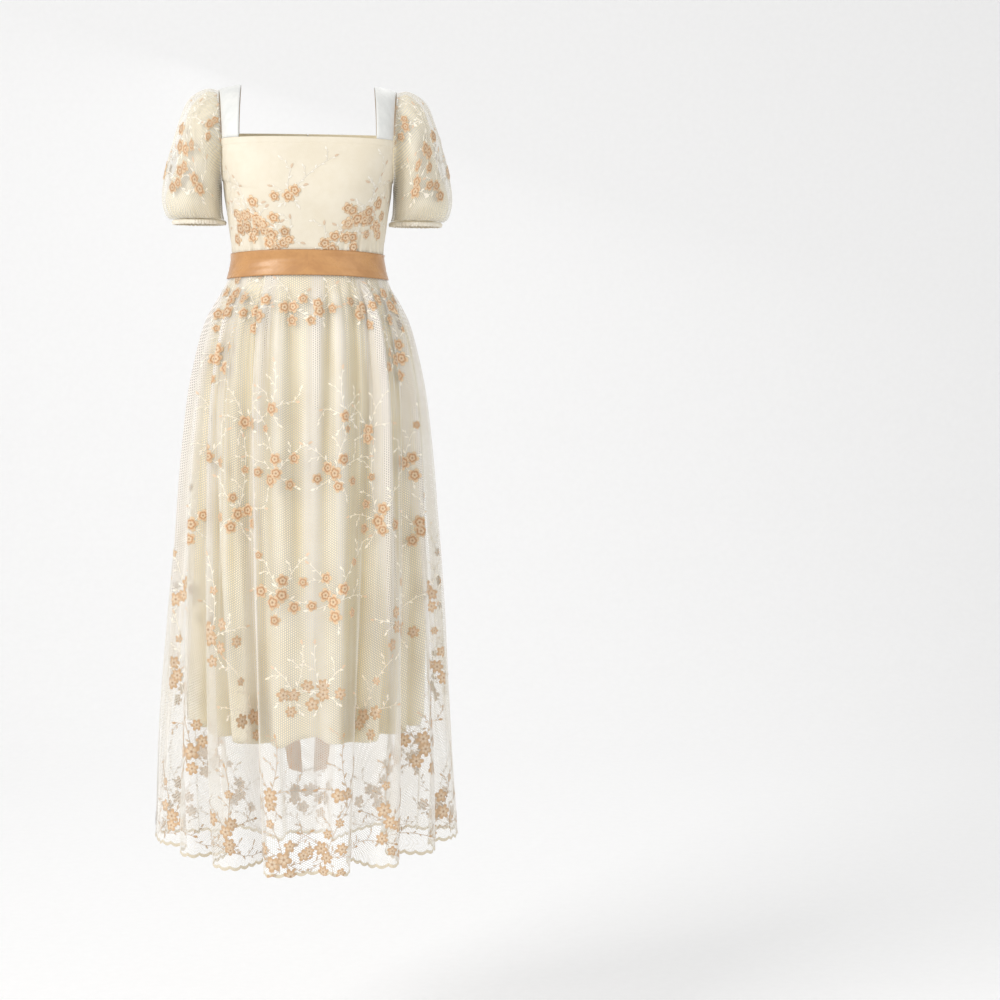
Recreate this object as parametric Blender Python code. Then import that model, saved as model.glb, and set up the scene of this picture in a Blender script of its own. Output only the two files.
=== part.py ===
"""Regency gown on no wearer: bodice, puff sleeves, sheer overskirt, underskirt and sash.

Metres, +Z up. The front of the gown faces -Y and the wearer's left is +X. The origin lies midway
between the two shoulder straps, level with their tops, where the wearer's shoulders hold it up.
Each cloth piece is an open sheet of points worked out from sections, with its wall by Solidify.
Angles round the gown are in degrees: 0 at the centre front, 90 at the wearer's left.
"""

import collections
import math

import bmesh
import bpy
import numpy as np

# Cloth thicknesses and the gap left at a seam
TULLE = 0.0010
LINING = 0.0012
SATIN = 0.0012
CASING = 0.0022
SEAM_GAP = 0.0003

# Heights below the strap tops
FRONT_NECK = -0.0855
BACK_NECK = -0.0660
NECK_CORNER_DROP = 0.0025
WAIST = -0.2750
WAIST_BACK_DROP = 0.0120
FRONT_HEM = -1.2000
BACK_HEM = -1.2400
SIDE_HEM_LIFT = 0.0180
UNDER_SIDE_HEM = -1.0000
UNDER_FRONT_DROP = 0.0150
UNDER_BACK_DROP = 0.0300

# Armhole: a loop that leans with the side of the body
ARMHOLE_X = 0.1360
ARMHOLE_BACK_OUT = 0.0045
ARMHOLE_TOP_OUT = 0.0025
ARMHOLE_Y = 0.0040
ARMHOLE_Z = -0.0780
ARMHOLE_HALF_DEPTH = 0.0640
ARMHOLE_HALF_HEIGHT = 0.0700
UNDERARM_ROW = 0.55

STRAP_INNER_X = 0.1045
STRAP_BACK_SHIFT = 0.0050
STRAP_LEAN_IN = 0.0035
STRAP_OUTER_DROP = 0.0080

RIBBON = 0.0390
SASH_GAP = 0.0013
SASH_AT_KNOT = 0.0160
KNOT_WIDTH = 0.0180
KNOT_HEIGHT = 0.0170
KNOT_DEPTH = 0.0130
LOOP_LENGTH = 0.0930
LOOP_WIDTH = 0.0360
LOOP_WIDTH_AT_KNOT = 0.0130
LOOP_DROOP = 33.0
LOOP_HALF_GAP = 0.0075
LOOP_AT_KNOT = 0.0020
LOOP_TIP_RADIUS = 0.0045
LOOP_CLEARANCE = 0.0020

BODICE_QUARTER = 0.1000
BODICE_BACK_SQUARE = 2.45

ZIP_SLIT = 0.0012
ZIP_TAPE = 0.0200
TAPE_INSET = LINING + 0.0009
SLIDER_WIDTH = 0.0052
SLIDER_HEIGHT = 0.0080
SLIDER_THICK = 0.0024
SLIDER_TOP_DROP = 0.0020
SLIDER_OFF_BACK = 0.0008
BRIDGE_WIDTH = 0.0010
BRIDGE_HALF_HEIGHT = 0.0022
BRIDGE_AXIS_OUT = 0.0013
BRIDGE_WALL = 0.0009
BRIDGE_ROOT = 0.0004
PULL_LENGTH = 0.0170
PULL_WIDTH = 0.0042
PULL_THICK = 0.0009
PULL_HOLE_HEIGHT = 0.0040
PULL_HOLE_RIM = 0.0010

WAIST_SPREAD = 18.0
EARLY_FOLD = 0.58

Level = collections.namedtuple("Level", "z half_width front back square")
Fold = collections.namedtuple("Fold", "angle width depth start")
Ring = collections.namedtuple("Ring", "outer_x outer_z inner_x inner_z half_depth lining_inset")
TailRow = collections.namedtuple("TailRow", "z inner_x outer_x lift")

# Half width, depth to the front and to the back, and squareness of the section at each height
BODICE_LEVELS = [
    Level(-0.2900, 0.1178, 0.0978, 0.0985, 2.40),
    Level(-0.2750, 0.1175, 0.0980, 0.0988, 2.40),
    Level(-0.2550, 0.1185, 0.0988, 0.0992, 2.40),
    Level(-0.2150, 0.1235, 0.1130, 0.1012, 2.45),
    Level(-0.1700, 0.1300, 0.1262, 0.1040, 2.55),
    Level(-0.1300, 0.1335, 0.1235, 0.1056, 2.75),
    Level(-0.0855, 0.1335, 0.1060, 0.1056, 3.00),
    Level(-0.0600, 0.1335, 0.1000, 0.1050, 3.00),
]
SKIRT_LEVELS = [
    Level(-0.2700, 0.1172, 0.0978, 0.0985, 2.40),
    Level(-0.2950, 0.1228, 0.1020, 0.1050, 2.36),
    Level(-0.3590, 0.1490, 0.1210, 0.1290, 2.28),
    Level(-0.4050, 0.1620, 0.1340, 0.1440, 2.22),
    Level(-0.4760, 0.1780, 0.1500, 0.1620, 2.16),
    Level(-0.5520, 0.1880, 0.1640, 0.1760, 2.12),
    Level(-0.7020, 0.2010, 0.1830, 0.1960, 2.08),
    Level(-0.8790, 0.2150, 0.2010, 0.2120, 2.04),
    Level(-1.0400, 0.2280, 0.2140, 0.2240, 2.02),
    Level(-1.2500, 0.2400, 0.2260, 0.2360, 2.00),
]
UNDERSKIRT_LEVELS = [
    Level(-0.2700, 0.1146, 0.0950, 0.0958, 2.40),
    Level(-0.2950, 0.1200, 0.0990, 0.1018, 2.36),
    Level(-0.3590, 0.1420, 0.1110, 0.1170, 2.30),
    Level(-0.4050, 0.1545, 0.1205, 0.1275, 2.26),
    Level(-0.4760, 0.1665, 0.1325, 0.1405, 2.20),
    Level(-0.5520, 0.1725, 0.1410, 0.1500, 2.16),
    Level(-0.7020, 0.1780, 0.1530, 0.1620, 2.12),
    Level(-0.8790, 0.1810, 0.1600, 0.1690, 2.08),
    Level(-1.0400, 0.1830, 0.1650, 0.1740, 2.06),
]

# Folds of the overskirt: a trough has a negative depth. The start is a share of the fall
FOLDS = [
    Fold(2.5, 5.5, -0.0120, 0.00),
    Fold(-12.0, 6.0, 0.0120, 0.00),
    Fold(12.5, 5.6, 0.0110, 0.02),
    Fold(-21.5, 3.6, -0.0760, 0.01),
    Fold(21.0, 3.8, -0.0740, 0.00),
    Fold(-32.0, 6.0, 0.0060, 0.12),
    Fold(33.0, 5.5, 0.0070, 0.08),
    Fold(-44.5, 4.4, -0.0620, 0.02),
    Fold(43.5, 4.7, -0.0640, 0.04),
    Fold(-66.0, 6.0, -0.0300, 0.10),
    Fold(68.0, 6.4, -0.0320, 0.07),
    Fold(-99.0, 11.0, 0.0090, 0.20),
    Fold(101.0, 12.0, 0.0090, 0.25),
    Fold(-121.0, 5.8, -0.0300, 0.08),
    Fold(119.0, 6.2, -0.0320, 0.10),
    Fold(-139.0, 4.3, -0.0500, 0.04),
    Fold(140.0, 4.5, -0.0520, 0.02),
    Fold(-150.0, 6.6, 0.0340, 0.05),
    Fold(150.5, 6.2, 0.0330, 0.04),
    Fold(-164.5, 5.8, -0.0740, 0.02),
    Fold(165.0, 6.0, -0.0720, 0.03),
    Fold(179.0, 8.0, -0.0180, 0.10),
]
UNDERSKIRT_FOLD_SHARE = 0.45

# Puff sleeve rings from armhole to cuff, and how far the lining stands inside the puff's outer side
SLEEVE_RINGS = [
    Ring(0.1600, -0.0075, 0.1345, -0.1590, 0.0700, 0.0060),
    Ring(0.1850, -0.0240, 0.1342, -0.1700, 0.0780, 0.0120),
    Ring(0.2010, -0.0600, 0.1338, -0.1800, 0.0820, 0.0165),
    Ring(0.2140, -0.1050, 0.1334, -0.1880, 0.0810, 0.0170),
    Ring(0.2245, -0.1500, 0.1330, -0.1940, 0.0770, 0.0100),
    Ring(0.2265, -0.1780, 0.1326, -0.1990, 0.0690, 0.0055),
    Ring(0.2195, -0.2010, 0.1318, -0.2045, 0.0560, 0.0045),
    Ring(0.2085, -0.2085, 0.1308, -0.2085, 0.0460, 0.0040),
]
LINING_DEPTH_SHARE = 0.6
LINING_INNER_INSET = 0.0034
LINING_HEAD_INSET = 0.055
CUFF_CENTRE_X = 0.1693
CUFF_HALF_WIDTH = 0.0392
CUFF_HALF_DEPTH = 0.0460
CUFF_TOP = -0.2094
CUFF_HEIGHT = 0.0072

# Sash tails: the edges nearer and further from the centre back, and how far
# the tail lies off the skirt
TAIL_LEFT = [
    TailRow(-0.2975, -0.0050, 0.0075, 0.0040),
    TailRow(-0.3400, -0.0055, 0.0125, 0.0035),
    TailRow(-0.4000, -0.0040, 0.0185, 0.0030),
    TailRow(-0.4700, -0.0015, 0.0255, 0.0025),
    TailRow(-0.5950, 0.0010, 0.0320, 0.0025),
    TailRow(-0.7000, 0.0075, 0.0380, 0.0025),
    TailRow(-0.9000, 0.0110, 0.0405, 0.0030),
    TailRow(-1.0600, 0.0140, 0.0420, 0.0030),
    TailRow(-1.1350, 0.0100, 0.0330, 0.0030),
]
TAIL_RIGHT = [
    TailRow(-0.2975, -0.0045, 0.0080, 0.0068),
    TailRow(-0.3400, -0.0060, 0.0130, 0.0065),
    TailRow(-0.4000, -0.0060, 0.0185, 0.0062),
    TailRow(-0.4700, -0.0025, 0.0245, 0.0060),
    TailRow(-0.5950, 0.0020, 0.0325, 0.0045),
    TailRow(-0.7000, 0.0080, 0.0375, 0.0030),
    TailRow(-0.9000, 0.0120, 0.0395, 0.0025),
    TailRow(-1.0600, 0.0150, 0.0430, 0.0025),
    TailRow(-1.1350, 0.0095, 0.0330, 0.0030),
]
TAIL_SLANT = 0.0070

COLOURS = {
    # name: base colour, roughness, metallic
    "lined_tulle": ((0.80, 0.74, 0.58, 1.0), 0.75, 0.0),
    "tulle": ((0.84, 0.81, 0.72, 1.0), 0.80, 0.0),
    "cream_lining": ((0.83, 0.77, 0.60, 1.0), 0.60, 0.0),
    "white_satin": ((0.84, 0.87, 0.88, 1.0), 0.40, 0.0),
    "caramel_satin": ((0.58, 0.32, 0.14, 1.0), 0.35, 0.0),
    "zip_tape": ((0.80, 0.77, 0.68, 1.0), 0.80, 0.0),
    "dark_metal": ((0.09, 0.08, 0.07, 1.0), 0.35, 1.0),
    "white_pull": ((0.85, 0.85, 0.83, 1.0), 0.45, 0.0),
}


def clear_scene():
    for item in list(bpy.data.objects):
        bpy.data.objects.remove(item, do_unlink=True)


def material(name):
    """The named finish, made the first time it is asked for."""
    found = bpy.data.materials.get(name)
    if found:
        return found
    colour, roughness, metallic = COLOURS[name]
    made = bpy.data.materials.new(name)
    made.use_nodes = True
    shader = made.node_tree.nodes["Principled BSDF"]
    shader.inputs["Base Color"].default_value = colour
    shader.inputs["Roughness"].default_value = roughness
    shader.inputs["Metallic"].default_value = metallic
    return made


def through(levels, column, z):
    """A smooth curve through one column of a table of levels, read at heights z (cubic Hermite)."""
    order = sorted(levels, key=lambda level: level.z)
    knots = np.array([level.z for level in order])
    values = np.array([getattr(level, column) for level in order])
    slopes = np.gradient(values, knots)
    z = np.clip(z, knots[0], knots[-1])
    k = np.clip(np.searchsorted(knots, z) - 1, 0, len(knots) - 2)
    step = knots[k + 1] - knots[k]
    t = (z - knots[k]) / step
    rise = values[k + 1] - values[k]
    bend = t * (1 - t) * ((1 - t) * (slopes[k] * step - rise) - t * (slopes[k + 1] * step - rise))
    return values[k] + t * rise + bend


def smooth_object(name, vertices, faces, finish):
    mesh = bpy.data.meshes.new(name)
    mesh.from_pydata(vertices, [], faces)
    mesh.shade_smooth()
    mesh.set_sharp_from_angle(angle=math.radians(40))
    made = bpy.data.objects.new(name, mesh)
    made.data.materials.append(material(finish))
    bpy.context.scene.collection.objects.link(made)
    return made


def cloth(name, grid, thickness, finish, closed=False):
    """A cloth piece: rows of points top to bottom, columns that run so the normals face out."""
    rows, columns = grid.shape[:2]
    faces = []
    for row in range(rows - 1):
        for column in range(columns if closed else columns - 1):
            beside = (column + 1) % columns
            top = row * columns
            low = top + columns
            faces.append((top + column, low + column, low + beside, top + beside))
    made = smooth_object(name, grid.reshape(-1, 3).tolist(), faces, finish)
    wall = made.modifiers.new("cloth_thickness", "SOLIDIFY")
    wall.thickness = thickness
    wall.offset = -1.0
    wall.use_even_offset = False
    return made


def power(value, exponent):
    """A signed power, as a superellipse needs."""
    return np.sign(value) * np.abs(value) ** exponent


def waist_height(angle):
    """The waist seam dips from the centre front to the centre back."""
    ahead = np.cos(np.radians(angle))
    return WAIST - WAIST_BACK_DROP * (1 - ahead * np.abs(ahead)) / 2


def section(levels, angle, z):
    """Points of the superelliptic section at height z, and its outward normals."""
    turn = np.radians(angle)
    depth = np.where(np.cos(turn) > 0, through(levels, "front", z), through(levels, "back", z))
    width = through(levels, "half_width", z)
    share = 2 / through(levels, "square", z)
    x = width * power(np.sin(turn), share)
    y = -depth * power(np.cos(turn), share)
    out_x = power(np.sin(turn), 2 - share) / width
    out_y = -power(np.cos(turn), 2 - share) / depth
    size = np.hypot(out_x, out_y)
    return x, y, out_x / size, out_y / size


def fold_depth(angle, fall):
    """How far the overskirt stands out of its section, from its table of folds."""
    total = np.zeros(np.broadcast(angle, fall).shape)
    for fold in FOLDS:
        away = (angle - fold.angle + 180) % 360 - 180
        run = np.clip((fall - fold.start) / (1 - fold.start), 0, 1)
        grown = EARLY_FOLD * run**0.7 + (1 - EARLY_FOLD) * run**4
        total += fold.depth * grown * np.exp(-((away / fold.width) ** 2))
    return total


def spread(angle, fall):
    """Folds lie further round from the centres at the waist than at the hem."""
    return angle + WAIST_SPREAD * (1 - fall) * np.sin(np.radians(2 * angle))


def hanging(levels, angle, fall, hem, share):
    """A hanging skirt: the angle of a thread at the hem and its share of the fall, to points."""
    top = waist_height(spread(angle, 0.0)) - SEAM_GAP
    z = top + (hem - top) * fall
    x, y, out_x, out_y = section(levels, spread(angle, fall), z)
    out = fold_depth(angle, fall) * share
    return np.stack(np.broadcast_arrays(x + out_x * out, y + out_y * out, z), axis=-1)


def overskirt(angle, fall):
    turn = np.radians(angle)
    behind = ((1 - np.cos(turn)) / 2) ** 2
    hem = FRONT_HEM + (BACK_HEM - FRONT_HEM) * behind + SIDE_HEM_LIFT * np.sin(turn) ** 2
    return hanging(SKIRT_LEVELS, angle, fall, hem, 1.0)


def underskirt(angle, fall):
    turn = np.cos(np.radians(angle))
    hem = UNDER_SIDE_HEM - np.where(turn > 0, UNDER_FRONT_DROP, UNDER_BACK_DROP) * turn**2
    return hanging(UNDERSKIRT_LEVELS, angle, fall, hem, UNDERSKIRT_FOLD_SHARE)


def skirt_angles(first, last, count):
    """Columns from one side seam to the other, closer together where the folds are deep."""
    fine = np.linspace(first, last, 721)
    steep = np.abs(np.gradient(fold_depth(fine, 1.0), fine))
    load = np.cumsum(0.0026 + steep)
    share = (load - load[0]) / (load[-1] - load[0])
    return np.interp(np.linspace(0, 1, count), share, fine)


def build_skirts():
    gap = math.degrees(SEAM_GAP / SKIRT_LEVELS[0].half_width)
    falls = np.array([0.0, 0.03, 0.08, 0.15, 0.25, 0.37, 0.52, 0.68, 0.84, 1.0])[:, None]
    under_falls = np.array([0.0, 0.05, 0.13, 0.25, 0.45, 0.70, 1.0])[:, None]
    for side, first, last in (("front", -90 + gap, 90 - gap), ("back", 90 + gap, 270 - gap)):
        over = overskirt(skirt_angles(first, last, 39)[None, :], falls)
        cloth("skirt_" + side, over, TULLE, "tulle")
        under = underskirt(skirt_angles(first, last, 23)[None, :], under_falls)
        cloth("underskirt_" + side, under, LINING, "cream_lining")


def armhole(turn):
    """The armhole seam at an angle from its top, positive towards the back."""
    turn = np.radians(turn)
    x = ARMHOLE_X + ARMHOLE_BACK_OUT * np.sin(turn) + ARMHOLE_TOP_OUT * np.cos(turn)
    y = ARMHOLE_Y + ARMHOLE_HALF_DEPTH * np.sin(turn)
    z = ARMHOLE_Z + ARMHOLE_HALF_HEIGHT * np.cos(turn)
    return np.stack([x, y, z], axis=-1)


def neck_turn(neck):
    """The angle at which the armhole meets a neckline of that height at its corner."""
    return math.degrees(math.acos((neck - NECK_CORNER_DROP - ARMHOLE_Z) / ARMHOLE_HALF_HEIGHT))


def bodice_half(across, up, back):
    """One half of the bodice on the wearer's left.

    It runs across from 0 at the centre to 1 at the side, and up from 0 to 1.

    Each row is a quarter of a superellipse from the centre line to its end.
    The end runs up the side
    seam to the underarm, and from there along the armhole to the corner of the neckline.
    """
    neck = BACK_NECK if back else FRONT_NECK
    centre_angle = 180.0 if back else 0.0
    centre_z = waist_height(centre_angle) + (neck - waist_height(centre_angle)) * up
    underarm_z = ARMHOLE_Z - ARMHOLE_HALF_HEIGHT
    side_rise = underarm_z - waist_height(90.0)
    side_z = waist_height(90.0) + side_rise * np.minimum(up / UNDERARM_ROW, 1)
    above = np.clip((up - UNDERARM_ROW) / (1 - UNDERARM_ROW), 0, 1)
    turn = 180 - (180 - neck_turn(neck)) * above
    hole = armhole(turn if back else -turn)
    on_armhole = up > UNDERARM_ROW
    end_x = np.where(on_armhole, hole[..., 0], through(BODICE_LEVELS, "half_width", side_z))
    end_y = np.where(on_armhole, hole[..., 1], ARMHOLE_Y * np.minimum(up / UNDERARM_ROW, 1))
    end_z = np.where(on_armhole, hole[..., 2], side_z)
    depth = through(BODICE_LEVELS, "back" if back else "front", centre_z) * (1 if back else -1)
    share = 2 / through(BODICE_LEVELS, "square", centre_z)
    quarter = across * math.pi / 2
    x = end_x * np.sin(quarter) ** share
    y = end_y + (depth - end_y) * np.cos(quarter) ** share
    z = end_z + (centre_z - end_z) * np.cos(quarter) ** 2
    return np.stack(np.broadcast_arrays(x, y, z), axis=-1)


def mirrored(grid):
    """The wearer's right from the left, its columns turned round so that normals face out."""
    return grid[:, ::-1] * np.array([-1.0, 1.0, 1.0])


def build_bodice():
    up = np.linspace(1, 0, 8)[:, None]
    across = np.linspace(0, 1, 10)[None, :]
    seam = SEAM_GAP / 2 / BODICE_QUARTER
    front = bodice_half(across * (1 - seam), up, False)
    whole = np.concatenate([mirrored(front)[:, :-1], front], axis=1)
    cloth("bodice_front", whole, LINING, "lined_tulle")
    slit = ZIP_SLIT / 2 / BODICE_QUARTER
    start = (2 / math.pi) * math.asin(slit ** (BODICE_BACK_SQUARE / 2))
    back = bodice_half(start + (1 - seam - start) * across, up, True)
    back[:, 0, 0] = ZIP_SLIT / 2
    cloth("bodice_back_left", back[:, ::-1], LINING, "lined_tulle")
    cloth("bodice_back_right", mirrored(back[:, ::-1]), LINING, "lined_tulle")


def strap_grid():
    """The left strap: base rows on the two necklines, arched over the shoulder between them."""
    along = np.linspace(0, 1, 12)[:, None]
    wide = np.linspace(0, 1, 4)[None, :]
    ends = []
    for back in (False, True):
        fine = np.linspace(0, 1, 401)
        row = bodice_half(fine, np.float64(1.0), back)
        first = np.interp(STRAP_INNER_X + (STRAP_BACK_SHIFT if back else 0.0), row[:, 0], fine)
        ends.append(bodice_half(first + (1 - first) * wide[0], np.float64(1.0), back))
    front, rear = ends
    half = np.pi * along
    base = front[None] + (rear - front)[None] * ((1 - np.cos(half)) / 2)[..., None]
    top = -STRAP_OUTER_DROP * wide
    z = base[..., 2] + (top - base[..., 2]) * np.sin(half) ** 0.92 + SEAM_GAP
    x = base[..., 0] - STRAP_LEAN_IN * np.sin(half) ** 2 * (1 - wide)
    grid = np.stack([x, base[..., 1], z], axis=-1)
    turn = -neck_turn(FRONT_NECK) + (neck_turn(FRONT_NECK) + neck_turn(BACK_NECK)) * along[:, 0]
    edge = armhole(turn) + np.array([0, 0, SEAM_GAP])
    return grid + (edge - grid[:, -1])[:, None] * (wide**2)[..., None]


def build_straps():
    left = strap_grid().transpose(1, 0, 2)
    cloth("strap_left", left, SATIN, "white_satin")
    cloth("strap_right", mirrored(left), SATIN, "white_satin")


def sleeve_grid(turns, inset_share):
    """The left sleeve: the armhole seam, then a ring for each row, outer side first."""
    seam = armhole(turns) + np.array([TULLE + SEAM_GAP, 0, 0])
    middle = np.array([ARMHOLE_X, ARMHOLE_Y, ARMHOLE_Z])
    inside = (middle - seam) * np.array([0, LINING_HEAD_INSET, LINING_HEAD_INSET])
    rings = [seam + (inside + np.array([TULLE * 2, 0, 0])) * inset_share]
    for ring in SLEEVE_RINGS[:: 2 if inset_share else 1]:
        outer = np.array([ring.outer_x, ring.outer_z])
        inner = np.array([ring.inner_x, ring.inner_z])
        side = (outer - inner) / np.linalg.norm(outer - inner)
        outer = outer - side * ring.lining_inset * inset_share
        inner = inner + np.array([1.0, 0.5]) * LINING_INNER_INSET * inset_share
        depth = ring.half_depth - ring.lining_inset * LINING_DEPTH_SHARE * inset_share
        centre = (outer + inner) / 2
        reach = np.linalg.norm(outer - inner) / 2 * np.cos(np.radians(turns))
        x = centre[0] + side[0] * reach
        z = centre[1] + side[1] * reach
        y = ARMHOLE_Y + depth * np.sin(np.radians(turns))
        rings.append(np.stack([x, y, z], axis=-1))
    return np.stack(rings)


def cuff_grid(turns):
    """The elastic casing: a low band that swells a little between its edges."""
    rows = []
    for fall, swell in ((0.0, 0.0), (0.5, 0.0022), (1.0, 0.0006)):
        x = CUFF_CENTRE_X + (CUFF_HALF_WIDTH + swell) * np.cos(np.radians(turns))
        y = ARMHOLE_Y + (CUFF_HALF_DEPTH + swell) * np.sin(np.radians(turns))
        z = np.full_like(x, CUFF_TOP - CUFF_HEIGHT * fall)
        rows.append(np.stack([x, y, z], axis=-1))
    return np.stack(rows)


def build_sleeves():
    turns = np.arange(0, 360, 20.0)
    pieces = (
        ("sleeve_", sleeve_grid(turns, 0.0), TULLE, "tulle"),
        ("sleeve_lining_", sleeve_grid(turns, 1.0), LINING, "cream_lining"),
        ("cuff_", cuff_grid(turns), CASING, "tulle"),
    )
    for name, grid, thickness, finish in pieces:
        cloth(name + "left", grid, thickness, finish, closed=True)
        cloth(name + "right", mirrored(grid), thickness, finish, closed=True)


def build_sash():
    angles = np.arange(0, 360, 10.0)
    near_knot = np.exp(-(((angles - 180) / 9.0) ** 2))
    half = (RIBBON + (SASH_AT_KNOT - RIBBON) * near_knot) / 2
    rows = []
    for up in (1.0, 0.0, -1.0):
        z = waist_height(angles) + half * up
        above, above_y, out_x, out_y = section(BODICE_LEVELS, angles, z)
        below, below_y, _, _ = section(SKIRT_LEVELS, angles, z)
        reach = np.maximum(above * out_x + above_y * out_y, below * out_x + below_y * out_y)
        lift = reach - (above * out_x + above_y * out_y) + SASH_GAP + SATIN
        rows.append(np.stack([above + out_x * lift, above_y + out_y * lift, z], axis=-1))
    cloth("sash_band", np.stack(rows), SATIN, "caramel_satin", closed=True)


def back_reach(z, low_x, high_x):
    """The furthest-back point of the overskirt at height z between two places across."""
    angles = np.linspace(120, 240, 481)
    fall = (waist_height(180.0) - z) / (waist_height(180.0) - BACK_HEM)
    row = overskirt(angles, fall)
    inside = (row[:, 0] > low_x) & (row[:, 0] < high_x)
    return row[inside, 1].max()


def knot_centre():
    """The knot sits just off the sash at the centre back."""
    middle = waist_height(180.0)
    back = through(SKIRT_LEVELS, "back", middle - SASH_AT_KNOT / 2) + SASH_GAP + SATIN
    return np.array([0.0, back + KNOT_DEPTH / 2 + 2 * SEAM_GAP, middle])


def tail_grid(rows, side):
    """One tail of the ribbon: it hangs down the back of the skirt, just off its fullest points."""
    levels = [Level(row.z, row.inner_x, row.outer_x, row.lift, 0.0) for row in rows]
    z = np.linspace(rows[0].z, rows[-1].z, 15)
    inner = through(levels, "half_width", z)
    outer = through(levels, "front", z)
    lift = through(levels, "back", z)
    reach = np.array([back_reach(height, -0.046, 0.046) for height in z])
    reach = np.maximum(reach, knot_centre()[1] - 0.004 - 0.02 * (rows[0].z - z) / 0.1)
    grid = []
    for across in (0.0, 0.5, 1.0):
        x = (inner + (outer - inner) * across) * side
        bow = 0.0012 * math.sin(math.pi * across)
        slant = TAIL_SLANT * across * (z == z[-1])
        grid.append(np.stack([x, reach + lift + bow, z + slant], axis=-1))
    grid = np.stack(grid, axis=1)
    return grid[:, ::-1] if side > 0 else grid


def evenly(path, count):
    """Points of a path spaced evenly along its length."""
    steps = np.linalg.norm(np.diff(path, axis=0), axis=1)
    run = np.concatenate([[0.0], np.cumsum(steps)])
    places = np.linspace(0, run[-1], count)
    axes = [np.interp(places, run, path[:, axis]) for axis in range(path.shape[1])]
    return np.stack(axes, axis=-1)


def loop_path():
    """The folded ribbon seen along its edge: out on one layer, round the tip, back on the other."""
    share = np.linspace(0, 1, 200)
    straight = LOOP_LENGTH - LOOP_TIP_RADIUS
    half = LOOP_TIP_RADIUS + (LOOP_HALF_GAP - LOOP_TIP_RADIUS) * np.sin(np.pi * share)
    half -= (LOOP_TIP_RADIUS - LOOP_AT_KNOT) * (1 - share) ** 3
    outer = np.stack([share * straight, half], axis=-1)
    turn = np.linspace(math.pi / 2, -math.pi / 2, 60)[1:-1]
    across = straight + LOOP_TIP_RADIUS * np.cos(turn)
    tip = np.stack([across, LOOP_TIP_RADIUS * np.sin(turn)], axis=-1)
    inner = outer[::-1] * np.array([1.0, -1.0])
    return evenly(np.concatenate([outer, tip, inner]), 23)


def loop_grid(side):
    """One loop of the bow, drooping from the knot and standing just off the skirt behind it."""
    path = loop_path()
    ahead = path[:, 0]
    fullness = np.minimum(ahead / LOOP_LENGTH * 1.7, 1) ** 0.8
    wide = LOOP_WIDTH_AT_KNOT + (LOOP_WIDTH - LOOP_WIDTH_AT_KNOT) * fullness
    droop = math.radians(LOOP_DROOP)
    start = knot_centre()
    start_x = KNOT_WIDTH / 2 + SEAM_GAP + LOOP_WIDTH_AT_KNOT / 2 * math.sin(droop)
    centre_x = start_x + ahead * math.cos(droop)
    centre_z = start[2] - ahead * math.sin(droop)
    behind = [back_reach(z, x - 0.012, x + 0.012) for x, z in zip(centre_x, centre_z - 0.012)]
    centre_y = np.maximum(start[1], np.array(behind) + LOOP_HALF_GAP + LOOP_CLEARANCE)
    rows = []
    for across in (-0.5, 0.0, 0.5):
        x = centre_x + wide * across * math.sin(droop)
        z = centre_z + wide * across * math.cos(droop)
        rows.append(np.stack([x * side, centre_y + path[:, 1], z], axis=-1))
    grid = np.stack(rows)
    return grid if side > 0 else grid[::-1]


def build_bow():
    for name, rows, side in (("left", TAIL_LEFT, 1), ("right", TAIL_RIGHT, -1)):
        cloth("sash_tail_" + name, tail_grid(rows, side), SATIN, "caramel_satin")
        cloth("sash_loop_" + name, loop_grid(side), SATIN, "caramel_satin")
    block = bmesh.new()
    bmesh.ops.create_uvsphere(block, u_segments=12, v_segments=6, radius=0.5)
    for vertex in block.verts:
        rounded = [power(value * 2, 0.6) / 2 for value in vertex.co]
        vertex.co = [float(value) for value in rounded]
        vertex.co.x *= KNOT_WIDTH
        vertex.co.y *= KNOT_DEPTH
        vertex.co.z *= KNOT_HEIGHT
    mesh = bpy.data.meshes.new("sash_knot")
    block.to_mesh(mesh)
    block.free()
    mesh.shade_smooth()
    knot = bpy.data.objects.new("sash_knot", mesh)
    knot.location = knot_centre()
    knot.data.materials.append(material("caramel_satin"))
    bpy.context.scene.collection.objects.link(knot)


def box_mesh(name, low, high, finish):
    """A plain block between two corners."""
    block = bmesh.new()
    bmesh.ops.create_cube(block, size=1.0)
    low = np.array(low)
    high = np.array(high)
    for vertex in block.verts:
        vertex.co = (low + high) / 2 + np.array(vertex.co) * (high - low)
    mesh = bpy.data.meshes.new(name)
    block.to_mesh(mesh)
    block.free()
    made = bpy.data.objects.new(name, mesh)
    made.data.materials.append(material(finish))
    bpy.context.scene.collection.objects.link(made)
    return made


def join_to(body, other):
    """A Boolean union of a helper into a body."""
    union = body.modifiers.new("union_" + other.name, "BOOLEAN")
    union.operation = "UNION"
    union.object = other
    other.hide_render = True
    other.display_type = "WIRE"


def cut_from(body, other):
    cut = body.modifiers.new("cut_" + other.name, "BOOLEAN")
    cut.operation = "DIFFERENCE"
    cut.object = other
    other.hide_render = True
    other.display_type = "WIRE"


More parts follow.
